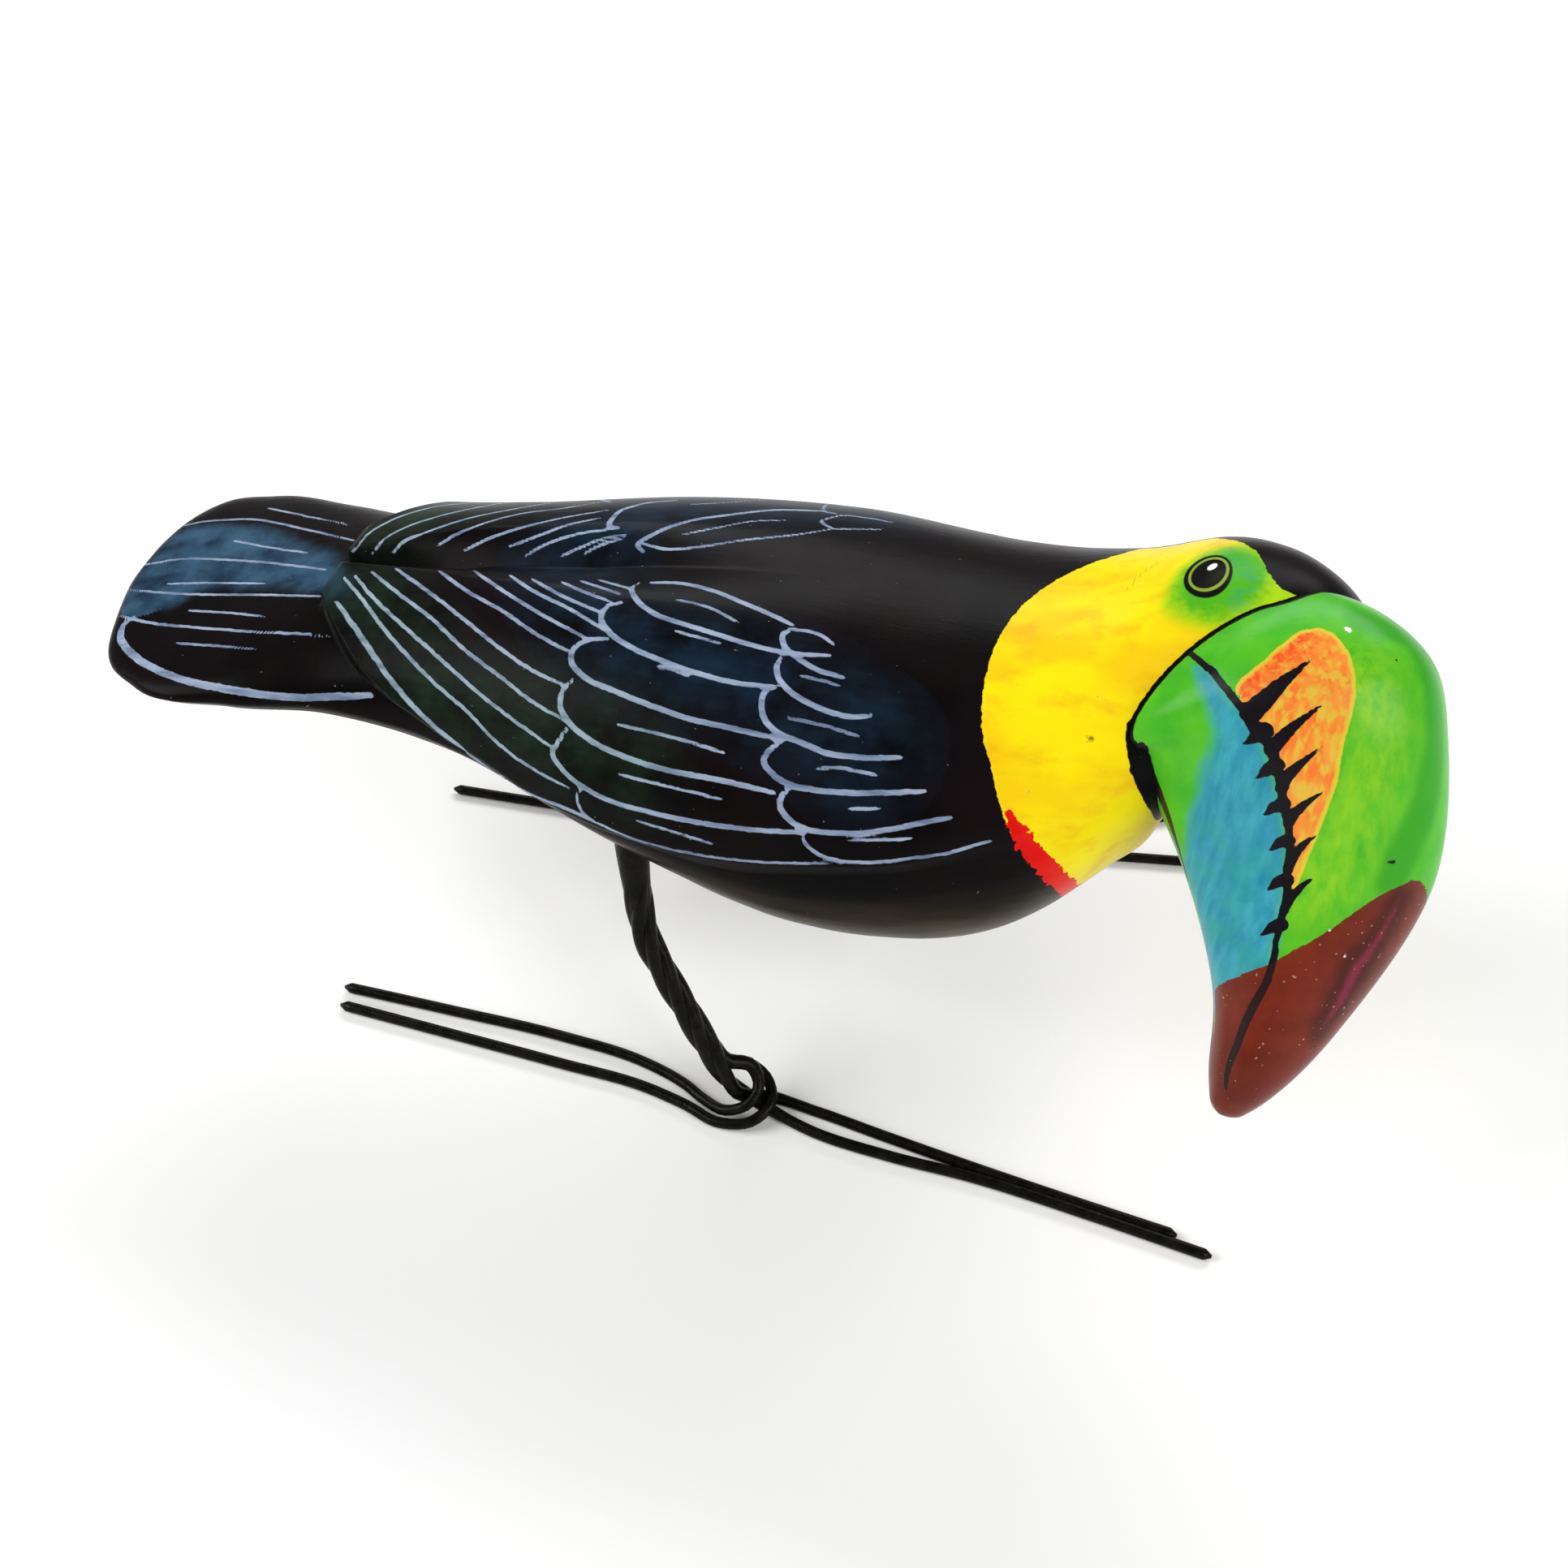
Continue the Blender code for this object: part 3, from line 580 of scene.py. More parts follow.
class Form:
    """A fine skin as a grid of points in mm, one ring a row, symmetric about its first column."""

    def __init__(self, at, angle, points):
        self.place = at
        self.angle = angle
        self.points = points
        self.rows, self.columns = points.shape[:2]
        self.flat = points.reshape(-1, 3)
        row, column = np.divmod(np.arange((self.rows - 1) * self.columns), self.columns)
        following = (column + 1) % self.columns
        self.quads = np.stack([
            row * self.columns + column,
            row * self.columns + following,
            (row + 1) * self.columns + following,
            (row + 1) * self.columns + column,
        ], axis=1)
        self.tree = BVHTree.FromPolygons(self.flat.tolist(), self.quads.tolist())
        self.outward = self.facing()

    def facing(self):
        """1 if the grid's faces look outward, -1 if inward."""
        row = self.rows // 2
        one, two, three = self.points[row, 0], self.points[row, 1], self.points[row + 1, 0]
        normal = np.cross(two - one, three - one)
        return 1 if normal @ (one - self.points[row].mean(axis=0)) > 0 else -1

    def at(self, spots):
        """Points of the skin at fractional (row, column) spots."""
        row = np.clip(spots[:, 0], 0, self.rows - 1.001)
        i = row.astype(int)
        j = np.floor(spots[:, 1]).astype(int)
        a = (row - i)[:, None]
        b = (spots[:, 1] - j)[:, None]
        j, k = j % self.columns, (j + 1) % self.columns
        return (
            (1 - a) * ((1 - b) * self.points[i, j] + b * self.points[i, k])
            + a * ((1 - b) * self.points[i + 1, j] + b * self.points[i + 1, k])
        )

    def spots(self, place_degrees):
        """Spots of (place, degrees) pairs; degrees may run past half a turn either way."""
        half = self.columns // 2
        found = []
        for place, degrees in place_degrees:
            row = np.interp(place, self.place, np.arange(self.rows))
            turn = abs(degrees) % 360
            ring = np.degrees(self.angle[int(row), :half + 1])
            column = np.interp(min(turn, 360 - turn), ring, np.arange(half + 1))
            if turn > 180:
                column = self.columns - column
            found.append((row, np.sign(degrees) * column))
        return np.array(found, float)

    def cast(self, pixels):
        """Spots that the reference camera sees at these pixels, and which of the pixels hit."""
        found = []
        hits = []
        for k, (x, y) in enumerate(pixels):
            ray = Vector(-TOWARDS * FOCAL + RIGHT * (x - PICTURE / 2) - UP * (y - PICTURE / 2))
            hit, _, index, _ = self.tree.ray_cast(Vector(EYE_POINT), ray.normalized())
            if hit is None:
                continue
            row, column = divmod(index, self.columns)
            corner = self.points[row, column]
            down = self.points[row + 1, column] - corner
            across = self.points[row, (column + 1) % self.columns] - corner
            offset = np.array(hit) - corner
            a = np.clip(offset @ down / (down @ down + 1e-9), 0, 1)
            b = np.clip(offset @ across / (across @ across + 1e-9), 0, 1)
            column = column - self.columns if column > self.columns * 3 / 4 else column
            found.append((row + a, column + b))
            hits.append(k)
        return np.array(found, float).reshape(-1, 2), np.array(hits, int)

    def sees(self, point):
        """Whether the reference camera sees this point of the skin."""
        offset = Vector(point) - Vector(EYE_POINT)
        hit = self.tree.ray_cast(Vector(EYE_POINT), offset.normalized())[0]
        return hit is not None and (hit - Vector(point)).length < SEEN_WITHIN


def photo_pixels(view, points):
    """Pixels of the whole picture for points read on an enlargement of it."""
    x, y, scale = view
    points = np.array(points, float)
    return np.stack([x + points[:, 0] / scale, y + points[:, 1] / scale], axis=1)


def seen_track(form, view, points):
    """Spots along a smooth curve through points read on an enlargement, and their order."""
    pixels = photo_pixels(view, points)
    keys = arc_lengths(pixels)
    fine = np.linspace(0, keys[-1], max(2, ceil(keys[-1] / TRACK_STEP)))
    spots, hits = form.cast(smooth_through(fine, keys, pixels))
    return spots, fine[hits] / keys[-1], keys / keys[-1]


def stroke_tracks(form, groups):
    """(spots, half widths in mm) of brush strokes of one width, thinner where they begin."""
    tracks = []
    for (view, half_width), strokes in groups.items():
        for points in strokes:
            spots, share, _ = seen_track(form, view, points)
            if len(spots) > 1:
                tracks.append((spots, half_width * read(BRUSH, share)))
    return tracks


def shaped_tracks(form, groups):
    """(spots, half widths in mm) of strokes whose half width is read at each point."""
    tracks = []
    for view, strokes in groups.items():
        for points in strokes:
            spots, share, keys = seen_track(form, view, points)
            widths = np.interp(share, keys, [point[2] for point in points])
            tracks.append((spots, widths / view[2] / PIXELS_PER_MM))
    return tracks


def mirrored(tracks):
    return [(spots * (1, -1), widths) for spots, widths in tracks]


def hidden(form, tracks):
    """The runs of the tracks that the reference camera doesn't see."""
    kept = []
    for spots, widths in tracks:
        seen = np.array([form.sees(point) for point in form.at(spots)])
        turns = np.flatnonzero(np.diff(seen)) + 1
        for run in np.split(np.arange(len(spots)), turns):
            if len(run) >= SHORTEST_RUN and not seen[run[0]]:
                kept.append((spots[run], widths[run]))
    return kept


def gap_to(form, tracks, margin=2.0):
    """Distance in mm of each vertex from the paint of the nearest track, below 0 inside it."""
    best = np.full(len(form.flat), FAR_OFF)
    for spots, widths in tracks:
        if len(spots) < 2:
            continue
        points = form.at(spots)
        widths = np.broadcast_to(widths, len(points))
        reach = margin + widths.max()
        low, high = points.min(axis=0) - reach, points.max(axis=0) + reach
        index = np.flatnonzero(np.all((form.flat > low) & (form.flat < high), axis=1))
        gap = np.full(len(index), FAR_OFF)
        for one, two, w_one, w_two in zip(points, points[1:], widths, widths[1:]):
            step = two - one
            offset = form.flat[index] - one
            t = np.clip(offset @ step / max(step @ step, 1e-9), 0, 1)
            distance = np.linalg.norm(offset - t[:, None] * step, axis=1)
            np.minimum(gap, distance - w_one - t * (w_two - w_one), out=gap)
        best[index] = np.minimum(best[index], gap)
    return best


def line_gap(form, *lines):
    """Distance in mm of each vertex from the nearest of the lines of spots, up to FAR_OFF."""
    return gap_to(form, [(spots, 0.0) for spots in lines], FAR_OFF)


def within(form, outline):
    """Whether each vertex lies in a closed outline of spots."""
    row = np.repeat(np.arange(form.rows), form.columns).astype(float)
    column = np.tile(np.arange(form.columns), form.rows).astype(float)
    inside = np.zeros(len(row), bool)
    for turn in (0, -form.columns):
        crossed = np.zeros(len(row), bool)
        for (r1, c1), (r2, c2) in zip(outline, np.roll(outline, -1, axis=0)):
            if c1 == c2:
                continue
            c = column + turn + 1e-4
            between = (c1 > c) != (c2 > c)
            crossed ^= between & (row < (r2 - r1) * (c - c1) / (c2 - c1) + r1)
        inside |= crossed
    return inside


def painted_area(form, edge, closing=()):
    """Distance in mm to a painted area's edge, above 0 inside. The closing spots have no edge."""
    edge = np.asarray(edge, float)
    fine = np.concatenate([
        np.linspace(one, two, max(2, ceil(np.abs(two - one).max() / EDGE_STEP)), endpoint=False)
        for one, two in zip(edge, edge[1:])
    ] + [edge[-1:]])
    distance = line_gap(form, fine)
    outline = np.vstack([edge, closing]) if len(closing) else edge
    return np.where(within(form, outline), distance, -distance)


def seen_edge(form, outline):
    """Spots along an area's edge, fewer than along a stroke."""
    return seen_track(form, *outline)[0][::EDGE_KEEPS]


def body_form():
    last = BODY[-1][0]
    at = np.concatenate([
        TAIL_ROWS,
        even_rows(BODY, TAIL_FROM, HEAD_FROM, BODY_STEP)[:-1],
        even_rows(BODY, HEAD_FROM, last, HEAD_STEP),
    ])
    tips = [place for place, _ in WING_RISE[:2]]
    clear = np.all([np.abs(at - place) > CLEAR_OF_TIP for place in tips], axis=0)
    at = np.sort(np.concatenate([at[clear], tips]))
    edge = np.radians(read(WING_EDGE, at))[:, None]
    foot = edge + np.radians(np.interp(at, *FOOT_STEP))[:, None]
    side = np.maximum(edge + np.radians(PAST_EDGE), pi / 2)
    wing = even_angles(BODY, at, np.zeros_like(edge), edge, WING_COLUMNS)
    share = wing / edge
    angle = np.concatenate([
        wing,
        even_angles(BODY, at, foot, side, SIDE_COLUMNS),
        even_angles(BODY, at, side, np.full_like(edge, pi), BELLY_COLUMNS)[:, 1:],
    ], axis=1)
    rise = np.zeros_like(angle)
    rise[:, :WING_COLUMNS] = wing_rise(at, share) * edge_round(share)
    share = np.pad(share, ((0, 0), (0, angle.shape[1] - WING_COLUMNS)), constant_values=2.0)
    signed = both_sides(angle, -1)
    round_off = rounded(at / TAIL_ROUND, 0.0025)[:, None]
    points = skin(BODY, at, signed, both_sides(rise), round_off)
    form = Form(at, signed, points)
    form.share = both_sides(share)
    return form


def edge_round(share):
    """The wing's edge rounded over: 1 on the wing, a little less at its very edge."""
    return np.sqrt(1 - LIP_DROP * np.clip((share - 1 + WING_LIP) / WING_LIP, 0, 1) ** 2)


def beak_form():
    last = BEAK[-1][0]
    at = even_rows(BEAK, 0, last, BEAK_STEP)
    half = even_angles(BEAK, at, np.zeros((len(at), 1)), np.full((len(at), 1), pi), BEAK_COLUMNS)
    angle = both_sides(half, -1)
    round_off = rounded((last - at) / TIP_ROUND, 0.01)[:, None]
    return Form(at, angle, skin(BEAK, at, angle, 0, round_off))


def crease_points(form, other):
    """Points in mm where a form's grid passes through another form's skin."""
    outside = np.full(len(form.flat), 1.0)
    low = other.flat.min(axis=0) - 1
    high = other.flat.max(axis=0) + 1
    for k in np.flatnonzero(np.all((form.flat > low) & (form.flat < high), axis=1)):
        near, normal, _, _ = other.tree.find_nearest(Vector(form.flat[k]))
        outside[k] = (Vector(form.flat[k]) - near).dot(normal) * other.outward
    grid = outside.reshape(form.rows, form.columns)
    found = []
    for axis in (0, 1):
        following = np.roll(grid, -1, axis)
        ends = np.roll(form.points, -1, axis)
        crossed = (grid > 0) != (following > 0)
        if axis == 0:
            crossed[-1] = False
        share = (grid / (grid - following + 1e-12))[crossed][:, None]
        found.append(form.points[crossed] * (1 - share) + ends[crossed] * share)
    return np.concatenate(found)


def distance_to(form, points):
    """Distance in mm of each vertex to the nearest of the points, up to FAR_OFF."""
    best = np.full(len(form.flat), FAR_OFF)
    low, high = points.min(axis=0) - CREASE_REACH, points.max(axis=0) + CREASE_REACH
    index = np.flatnonzero(np.all((form.flat > low) & (form.flat < high), axis=1))
    for part in np.array_split(index, max(1, len(index) // AT_ONCE)):
        offsets = form.flat[part][:, None] - points[None]
        best[part] = np.sqrt((offsets**2).sum(axis=2).min(axis=1))
    return np.minimum(best, FAR_OFF)


def eye_spot(form):
    """The eye's centre and its two half axes on the skin, as 3-D points."""
    tilt = radians(EYE_TILT)
    long_way = np.array([cos(tilt), -sin(tilt)])
    short_way = np.array([sin(tilt), cos(tilt)])
    centre = np.array(EYE, float)
    pixels = np.array([
        centre, centre + long_way * EYE_HALF[0], centre - long_way * EYE_HALF[0],
        centre + short_way * EYE_HALF[1], centre - short_way * EYE_HALF[1],
    ])
    return form.cast(pixels)[0]


def lowered(form, spots):
    """The hidden side's spots, moved round by FAR_EYE_DROP."""
    row = int(spots[0, 0])
    half = form.columns // 2
    ring = np.degrees(form.angle[row, :half + 1])
    column = abs(spots[0, 1])
    wanted = np.interp(column, np.arange(half + 1), ring) + FAR_EYE_DROP
    return spots - (0, np.interp(wanted, ring, np.arange(half + 1)) - column)


def eye_axes(form, spots):
    """Each vertex's place in the eye's own axes, where its outer ring is a circle of radius 1."""
    centre, ahead, behind, below, above = form.at(spots)
    axes = np.stack([(ahead - behind) / 2, (below - above) / 2], axis=1)
    local = (form.flat - centre) @ np.linalg.pinv(axes).T
    far = np.linalg.norm(form.flat - centre, axis=1) > FAR_OFF
    local[far] = FAR_OFF
    return local


def soft_tint(form, tint):
    """1 on a tint's line, falling off smoothly on both sides of it, and 0 from FAR_OFF."""
    line, size = tint
    gap = line_gap(form, seen_track(form, *line)[0])
    return np.exp(-(gap / size) ** 2) * (gap < 0.99 * FAR_OFF)


def on_both_sides(form, values):
    """A field of the seen side, laid on the hidden side too."""
    across = (-np.arange(form.columns)) % form.columns
    order = np.arange(form.rows)[:, None] * form.columns + across
    return np.maximum(values, values[order.ravel()])


def from_the_back(form, start, over):
    """0 up to 'start' degrees from the back's middle, and 1 from 'over' degrees further."""
    return np.clip((np.abs(np.degrees(form.angle)).ravel() - start) / over, 0, 1)


def hex_colour(text):
    """A colour given as on screen, as light."""
    shown = np.array([int(text[k:k + 2], 16) / 255 for k in (0, 2, 4)])
    light = np.where(shown <= 0.04045, shown / 12.92, ((shown + 0.055) / 1.055) ** 2.4)
    return (*light, 1.0)


class Paint:
    """Builds a material's nodes."""

    def __init__(self, name):
        gloss, self.relief = SURFACES[name]
        self.material = bpy.data.materials.new(name)
        self.material.use_nodes = True
        self.tree = self.material.node_tree
        self.shader = self.tree.nodes["Principled BSDF"]
        self.shader.inputs["Specular IOR Level"].default_value = gloss
        self.where = self.node("TexCoord").outputs["Object"]

    def node(self, kind):
        return self.tree.nodes.new("ShaderNode" + kind)

    def put(self, socket, value):
        """Gives a socket a number, a link, or a colour as on screen."""
        if isinstance(value, bpy.types.NodeSocket):
            self.tree.links.new(value, socket)
        elif isinstance(value, str):
            socket.default_value = hex_colour(value)
        else:
            socket.default_value = value

    def field(self, name):
        node = self.node("Attribute")
        node.attribute_name = name
        return node.outputs["Fac"]

    def math(self, operation, one, two=0.0):
        node = self.node("Math")
        node.operation = operation
        self.put(node.inputs[0], one)
        self.put(node.inputs[1], two)
        return node.outputs[0]

    def noise(self, size, detail=3.0, stretch=(1, 1, 1), seed=0.0, rough=0.55):
        """Noise from 0 to 1 whose features are about 'size' mm across."""
        mapping = self.node("Mapping")
        mapping.inputs["Location"].default_value = (seed, seed * 0.7, seed * 1.3)
        mapping.inputs["Scale"].default_value = tuple(1 / (size * MM * s) for s in stretch)
        self.put(mapping.inputs["Vector"], self.where)
        node = self.node("TexNoise")
        node.inputs["Scale"].default_value = 1.0
        node.inputs["Detail"].default_value = detail
        node.inputs["Roughness"].default_value = rough
        self.put(node.inputs["Vector"], mapping.outputs[0])
        return node.outputs["Fac"]

    def fade(self, value, start, end):
        """0 up to 'start' and 1 from 'end', smooth between; 'end' may be the lower one."""
        node = self.node("MapRange")
        node.interpolation_type = "SMOOTHSTEP"
        falls = start > end
        node.inputs["From Min"].default_value = min(start, end)
        node.inputs["From Max"].default_value = max(start, end)
        node.inputs["To Min"].default_value = float(falls)
        node.inputs["To Max"].default_value = float(not falls)
        self.put(node.inputs["Value"], value)
        return node.outputs["Result"]

    def wobble(self, value, noise, amount):
        """The value moved by up to 'amount' either way."""
        moved = self.math("MULTIPLY", self.math("SUBTRACT", noise, 0.5), 2 * amount)
        return self.math("ADD", moved, value)

    def edge(self, name, noise, amount, start, end):
        """A field's fade, with an edge that the noise moves by up to 'amount' mm."""
        return self.fade(self.wobble(self.field(name), noise, amount), start, end)

    def times(self, *values):
        out = values[0]
        for value in values[1:]:
            out = self.math("MULTIPLY", out, value)
        return out

    def mix(self, share, one, two):
        node = self.node("Mix")
        node.data_type = "RGBA"
        self.put(node.inputs[0], share)
        self.put(node.inputs[6], one)
        self.put(node.inputs[7], two)
        return node.outputs[2]

    def finish(self, colour, roughness, height):
        self.put(self.shader.inputs["Base Color"], colour)
        self.put(self.shader.inputs["Roughness"], roughness)
        bump = self.node("Bump")
        bump.inputs["Strength"].default_value = 1.0
        bump.inputs["Distance"].default_value = self.relief * MM
        self.put(bump.inputs["Height"], height)
        self.put(self.shader.inputs["Normal"], bump.outputs[0])
        return self.material


def body_material():
    p = Paint("painted_ceramic_body")
    broad = p.noise(22, 2, seed=3.0)
    cloud = p.noise(7, 4, seed=5.0)
    fine = p.noise(0.9, 3, seed=1.0)
    grain = p.noise(0.35, 2, seed=8.0)
    streak = p.noise(1.6, 3, (6, 1, 1), seed=2.0)

    base = p.mix(p.fade(broad, 0.35, 0.7), "070606", "130d0f")
    base = p.mix(p.times(p.fade(cloud, 0.4, 0.8), 0.5), base, "130d0a")
    # Olive brown paint on the belly, lighter towards the bottom, where it is also a painted
    # reflection of the floor.
    olive = p.mix(p.fade(p.noise(2.5, 4, (7, 1, 1), seed=24.0), 0.35, 0.7), "33290f", "54461f")
    base = p.mix(p.times(p.field("belly_olive_and_reflection"), 0.85), base, olive)
    blue = p.mix(streak, "0a1523", "1d3244")
    base = p.mix(p.times(p.field("blue"), p.fade(cloud, 0.2, 0.75)), base, blue)
    tail_blue = p.mix(p.fade(cloud, 0.3, 0.7), "1c3347", "3a5a72")
    tail = p.times(p.edge("tail_blue", cloud, 1.5, -1.8, 2.6), p.fade(cloud, -0.1, 0.5))
    base = p.mix(tail, base, tail_blue)
    green = p.mix(streak, "101a10", "24382a")
    base = p.mix(p.times(p.field("green"), p.fade(cloud, 0.2, 0.8)), base, green)

    ink = p.mix(p.fade(streak, 0.3, 0.75), "7484a0", "9fadc2")
    ink = p.mix(p.times(p.field("green"), 0.45), ink, "8faaa6")
    stroke = p.edge("stroke", fine, 0.11, 0.06, -0.06)
    cover = p.math("ADD", p.times(p.fade(streak, 0.2, 0.55), 0.4), 0.6)
    colour = p.mix(p.times(stroke, cover), base, ink)

    yellow = p.mix(p.fade(p.noise(9, 3, (2.2, 1, 1), seed=11.0), 0.42, 0.7), "f6e010", "f2c812")
    amber = p.times(p.fade(p.noise(3.5, 5, (2, 1, 1), seed=14.0), 0.48, 0.76), 0.55)
    yellow = p.mix(amber, yellow, "eaa21a")
    rim = p.times(p.fade(p.field("bib"), 5.5, 1.0), p.fade(cloud, 0.35, 0.75), 0.4)
    yellow = p.mix(rim, yellow, "f2b41a")
    lime = p.mix(p.fade(cloud, 0.3, 0.7), "9ccb10", "bfdc12")
    yellow = p.mix(p.edge("lime", cloud, 1.5, 7.5, 3.0), yellow, lime)
    mottle = p.noise(1.6, 4, seed=21.0)
    patch = p.mix(p.edge("patch", mottle, 2.6, 8.4, 4.6), "a6cf14", "4fae1e")
    ring = p.times(p.edge("teal_ring", fine, 1.0, 2.6, 0.2), p.fade(mottle, 0.4, 0.65), 0.6)
    patch = p.mix(ring, patch, "2f9c70")
    yellow = p.mix(p.edge("patch", cloud, 1.2, 9.6, 6.6), yellow, patch)
    bib = p.edge("bib", p.noise(1.1, 2, seed=17.0), 0.4, -0.06, 0.06)
    colour = p.mix(bib, colour, yellow)

    jag = p.noise(0.9, 1, (1, 1, 1), seed=9.0)
    red = p.mix(p.fade(cloud, 0.3, 0.7), "d9120f", "e8281c")
    colour = p.mix(p.edge("red", jag, 0.75, 0.08, -0.08), colour, red)
    colour = p.mix(p.edge("smudge", fine, 0.5, 0.2, -0.4), colour, "6a5a10")

    colour = painted_eye(p, colour, "eye_x", "eye_y")
    colour = painted_eye(p, colour, "far_eye_x", "far_eye_y")
    # Black paint where head and bill meet, and on the body painted shadow beneath the beak's base.
    colour = p.mix(p.edge("crease", fine, 0.12, 0.52, 0.4), colour, "0b0a0a")

    dust = p.fade(p.noise(0.55, 0, seed=31.0), 0.87, 0.89)
    colour = p.mix(p.times(dust, 0.5), colour, "8d8a86")
    rough = p.wobble(0.3, cloud, 0.07)
    rough = p.math("ADD", rough, p.times(stroke, 0.12))
    height = p.math("ADD", p.times(grain, 0.25), p.times(streak, 0.5))
    height = p.math("ADD", height, p.times(stroke, 0.5))
    return p.finish(colour, rough, height)


def painted_eye(p, colour, x_name, y_name):
    """Black ring, olive ring and black pupil, with a white spark."""
    x, y = p.field(x_name), p.field(y_name)
    for x0, y0, wide, high, start, end, paint in EYE_RINGS:
        across = p.math("MULTIPLY", p.math("SUBTRACT", x, x0), 1 / wide)
        down = p.math("MULTIPLY", p.math("SUBTRACT", y, y0), 1 / high)
        out = p.math("SQRT", p.math("ADD", p.times(across, across), p.times(down, down)))
        colour = p.mix(p.fade(out, start, end), colour, paint)
    return colour


def beak_material():
    p = Paint("painted_ceramic_beak")
    broad = p.noise(16, 2, seed=4.0)
    cloud = p.noise(5, 4, seed=6.0)
    fine = p.noise(0.8, 3, seed=2.0)
    grain = p.noise(0.35, 2, seed=7.0)
    brush = p.noise(1.5, 4, (1, 1, 5), seed=3.0)

    green = p.mix(p.fade(cloud, 0.3, 0.72), "3fae20", "55bb22")
    warm = p.times(p.field("warm"), p.fade(brush, 0.2, 0.8))
    green = p.mix(warm, green, "8ccb24")
    # Painted shade: deeper green down the beak's outer side, on both sides.
    green = p.mix(p.times(p.field("shade_strip"), 0.75), green, "2b9a16")
    teal = p.mix(p.fade(brush, 0.25, 0.75), "2486a0", "41a4b6")
    teal = p.mix(p.times(p.fade(cloud, 0.42, 0.72), 0.6), teal, "33a08c")
    teal = p.mix(p.times(p.fade(broad, 0.45, 0.7), 0.4), teal, "2a7fb0")
    lower = p.times(p.edge("teal", cloud, 1.4, -0.9, 1.6), p.field("low_side"))
    colour = p.mix(lower, green, teal)

    orange = p.mix(p.fade(brush, 0.3, 0.72), "f0762c", "eda03c")
    straw = p.times(p.fade(p.noise(1.1, 3, (1, 1, 9), seed=12.0), 0.44, 0.64), 0.85)
    orange = p.mix(straw, orange, "dcbc40")
    orange = p.mix(p.times(p.field("red_end"), p.fade(fine, 0.3, 0.7)), orange, "ee4a1e")
    rim = p.times(p.edge("orange", fine, 0.25, 0.75, 0.35), 0.8)
    orange = p.mix(rim, orange, "d8c93a")
    colour = p.mix(p.edge("orange", fine, 0.2, -0.06, 0.08), colour, orange)

    maroon = p.mix(p.fade(cloud, 0.3, 0.7), "67200f", "782a18")
    maroon = p.mix(p.times(p.fade(broad, 0.35, 0.7), 0.4), maroon, "4f160d")
    # Painted light on the maroon tip: painted shade in a darker band round the streak, then the
    # streak itself as a purple painted highlight.
    maroon = p.mix(p.times(p.edge("streak", cloud, 0.8, 2.8, 0.2), 0.75), maroon, "3a0f0a")
    maroon = p.mix(p.times(p.edge("streak", fine, 0.6, 0.1, -1.2), 0.85), maroon, "82203c")
    tip = p.edge("tip", fine, 0.25, -0.07, 0.07)
    colour = p.mix(tip, colour, maroon)

    # Black paint, and along the beak's underside below its base painted shadow.
    ink = p.edge("ink", p.noise(0.7, 2, seed=19.0), 0.1, 0.05, -0.05)
    black = p.mix(p.times(tip, 0.75), "100d12", "2a1613")
    colour = p.mix(ink, colour, black)
    colour = p.mix(p.edge("crease", fine, 0.12, 0.52, 0.4), colour, "0b0a0a")
    colour = p.mix(p.fade(p.field("chip"), 0.08, -0.08), colour, "e9e6e0")
    dust = p.times(p.fade(p.noise(0.5, 0, seed=33.0), 0.8, 0.83), tip)
    colour = p.mix(p.times(dust, 0.6), colour, "c79a86")
    colour = p.mix(p.fade(p.field("dot"), 0.1, -0.2), colour, "8fd21e")

    rough = p.wobble(0.3, cloud, 0.06)
    height = p.math("ADD", p.times(grain, 0.25), p.times(brush, 0.5))
    height = p.math("ADD", height, p.times(ink, 0.4))
    return p.finish(colour, rough, height)


def wire_material():
    p = Paint("painted_wire_black")
    lumps = p.noise(1.8, 3, seed=2.0)
    fine = p.noise(0.4, 2, seed=5.0)
    colour = p.mix(p.fade(lumps, 0.3, 0.75), "080808", "16140f")
    wear = p.fade(p.noise(0.8, 3, seed=9.0), 0.74, 0.8)
    colour = p.mix(p.times(wear, 0.5), colour, "4c463c")
    height = p.math("ADD", lumps, p.times(fine, 0.3))
    return p.finish(colour, p.wobble(0.3, lumps, 0.12), height)


def floor_material():
    p = Paint("pale_floor")
    colour = p.mix(p.noise(60, 2, seed=1.0), "fbfbfa", "ffffff")
    return p.finish(colour, 0.7, p.noise(3, 2, seed=4.0))


def mesh_object(name, points, faces, material, place=True):
    mesh = bpy.data.meshes.new(name)
    points = np.asarray(points, float) * MM + (SHIFT if place else 0)
    mesh.from_pydata(points.tolist(), [], faces)
    mesh.materials.append(material)
    mesh.shade_smooth()
    obj = bpy.data.objects.new(name, mesh)
    bpy.context.scene.collection.objects.link(obj)
    return obj


def form_object(name, form, material, fields):
    """A form as a closed object whose vertices carry the fields that its paint reads."""
    ends = [list(range(form.columns))[::-1],
            list(range((form.rows - 1) * form.columns, form.rows * form.columns))]
    faces = form.quads.tolist() + ends
    if form.outward < 0:
        faces = [face[::-1] for face in faces]
    obj = mesh_object(name, form.flat, faces, material)
    for key, values in fields.items():
        attribute = obj.data.attributes.new(key, "FLOAT", "POINT")
        attribute.data.foreach_set("value", np.asarray(values, np.float32).ravel())
    return obj


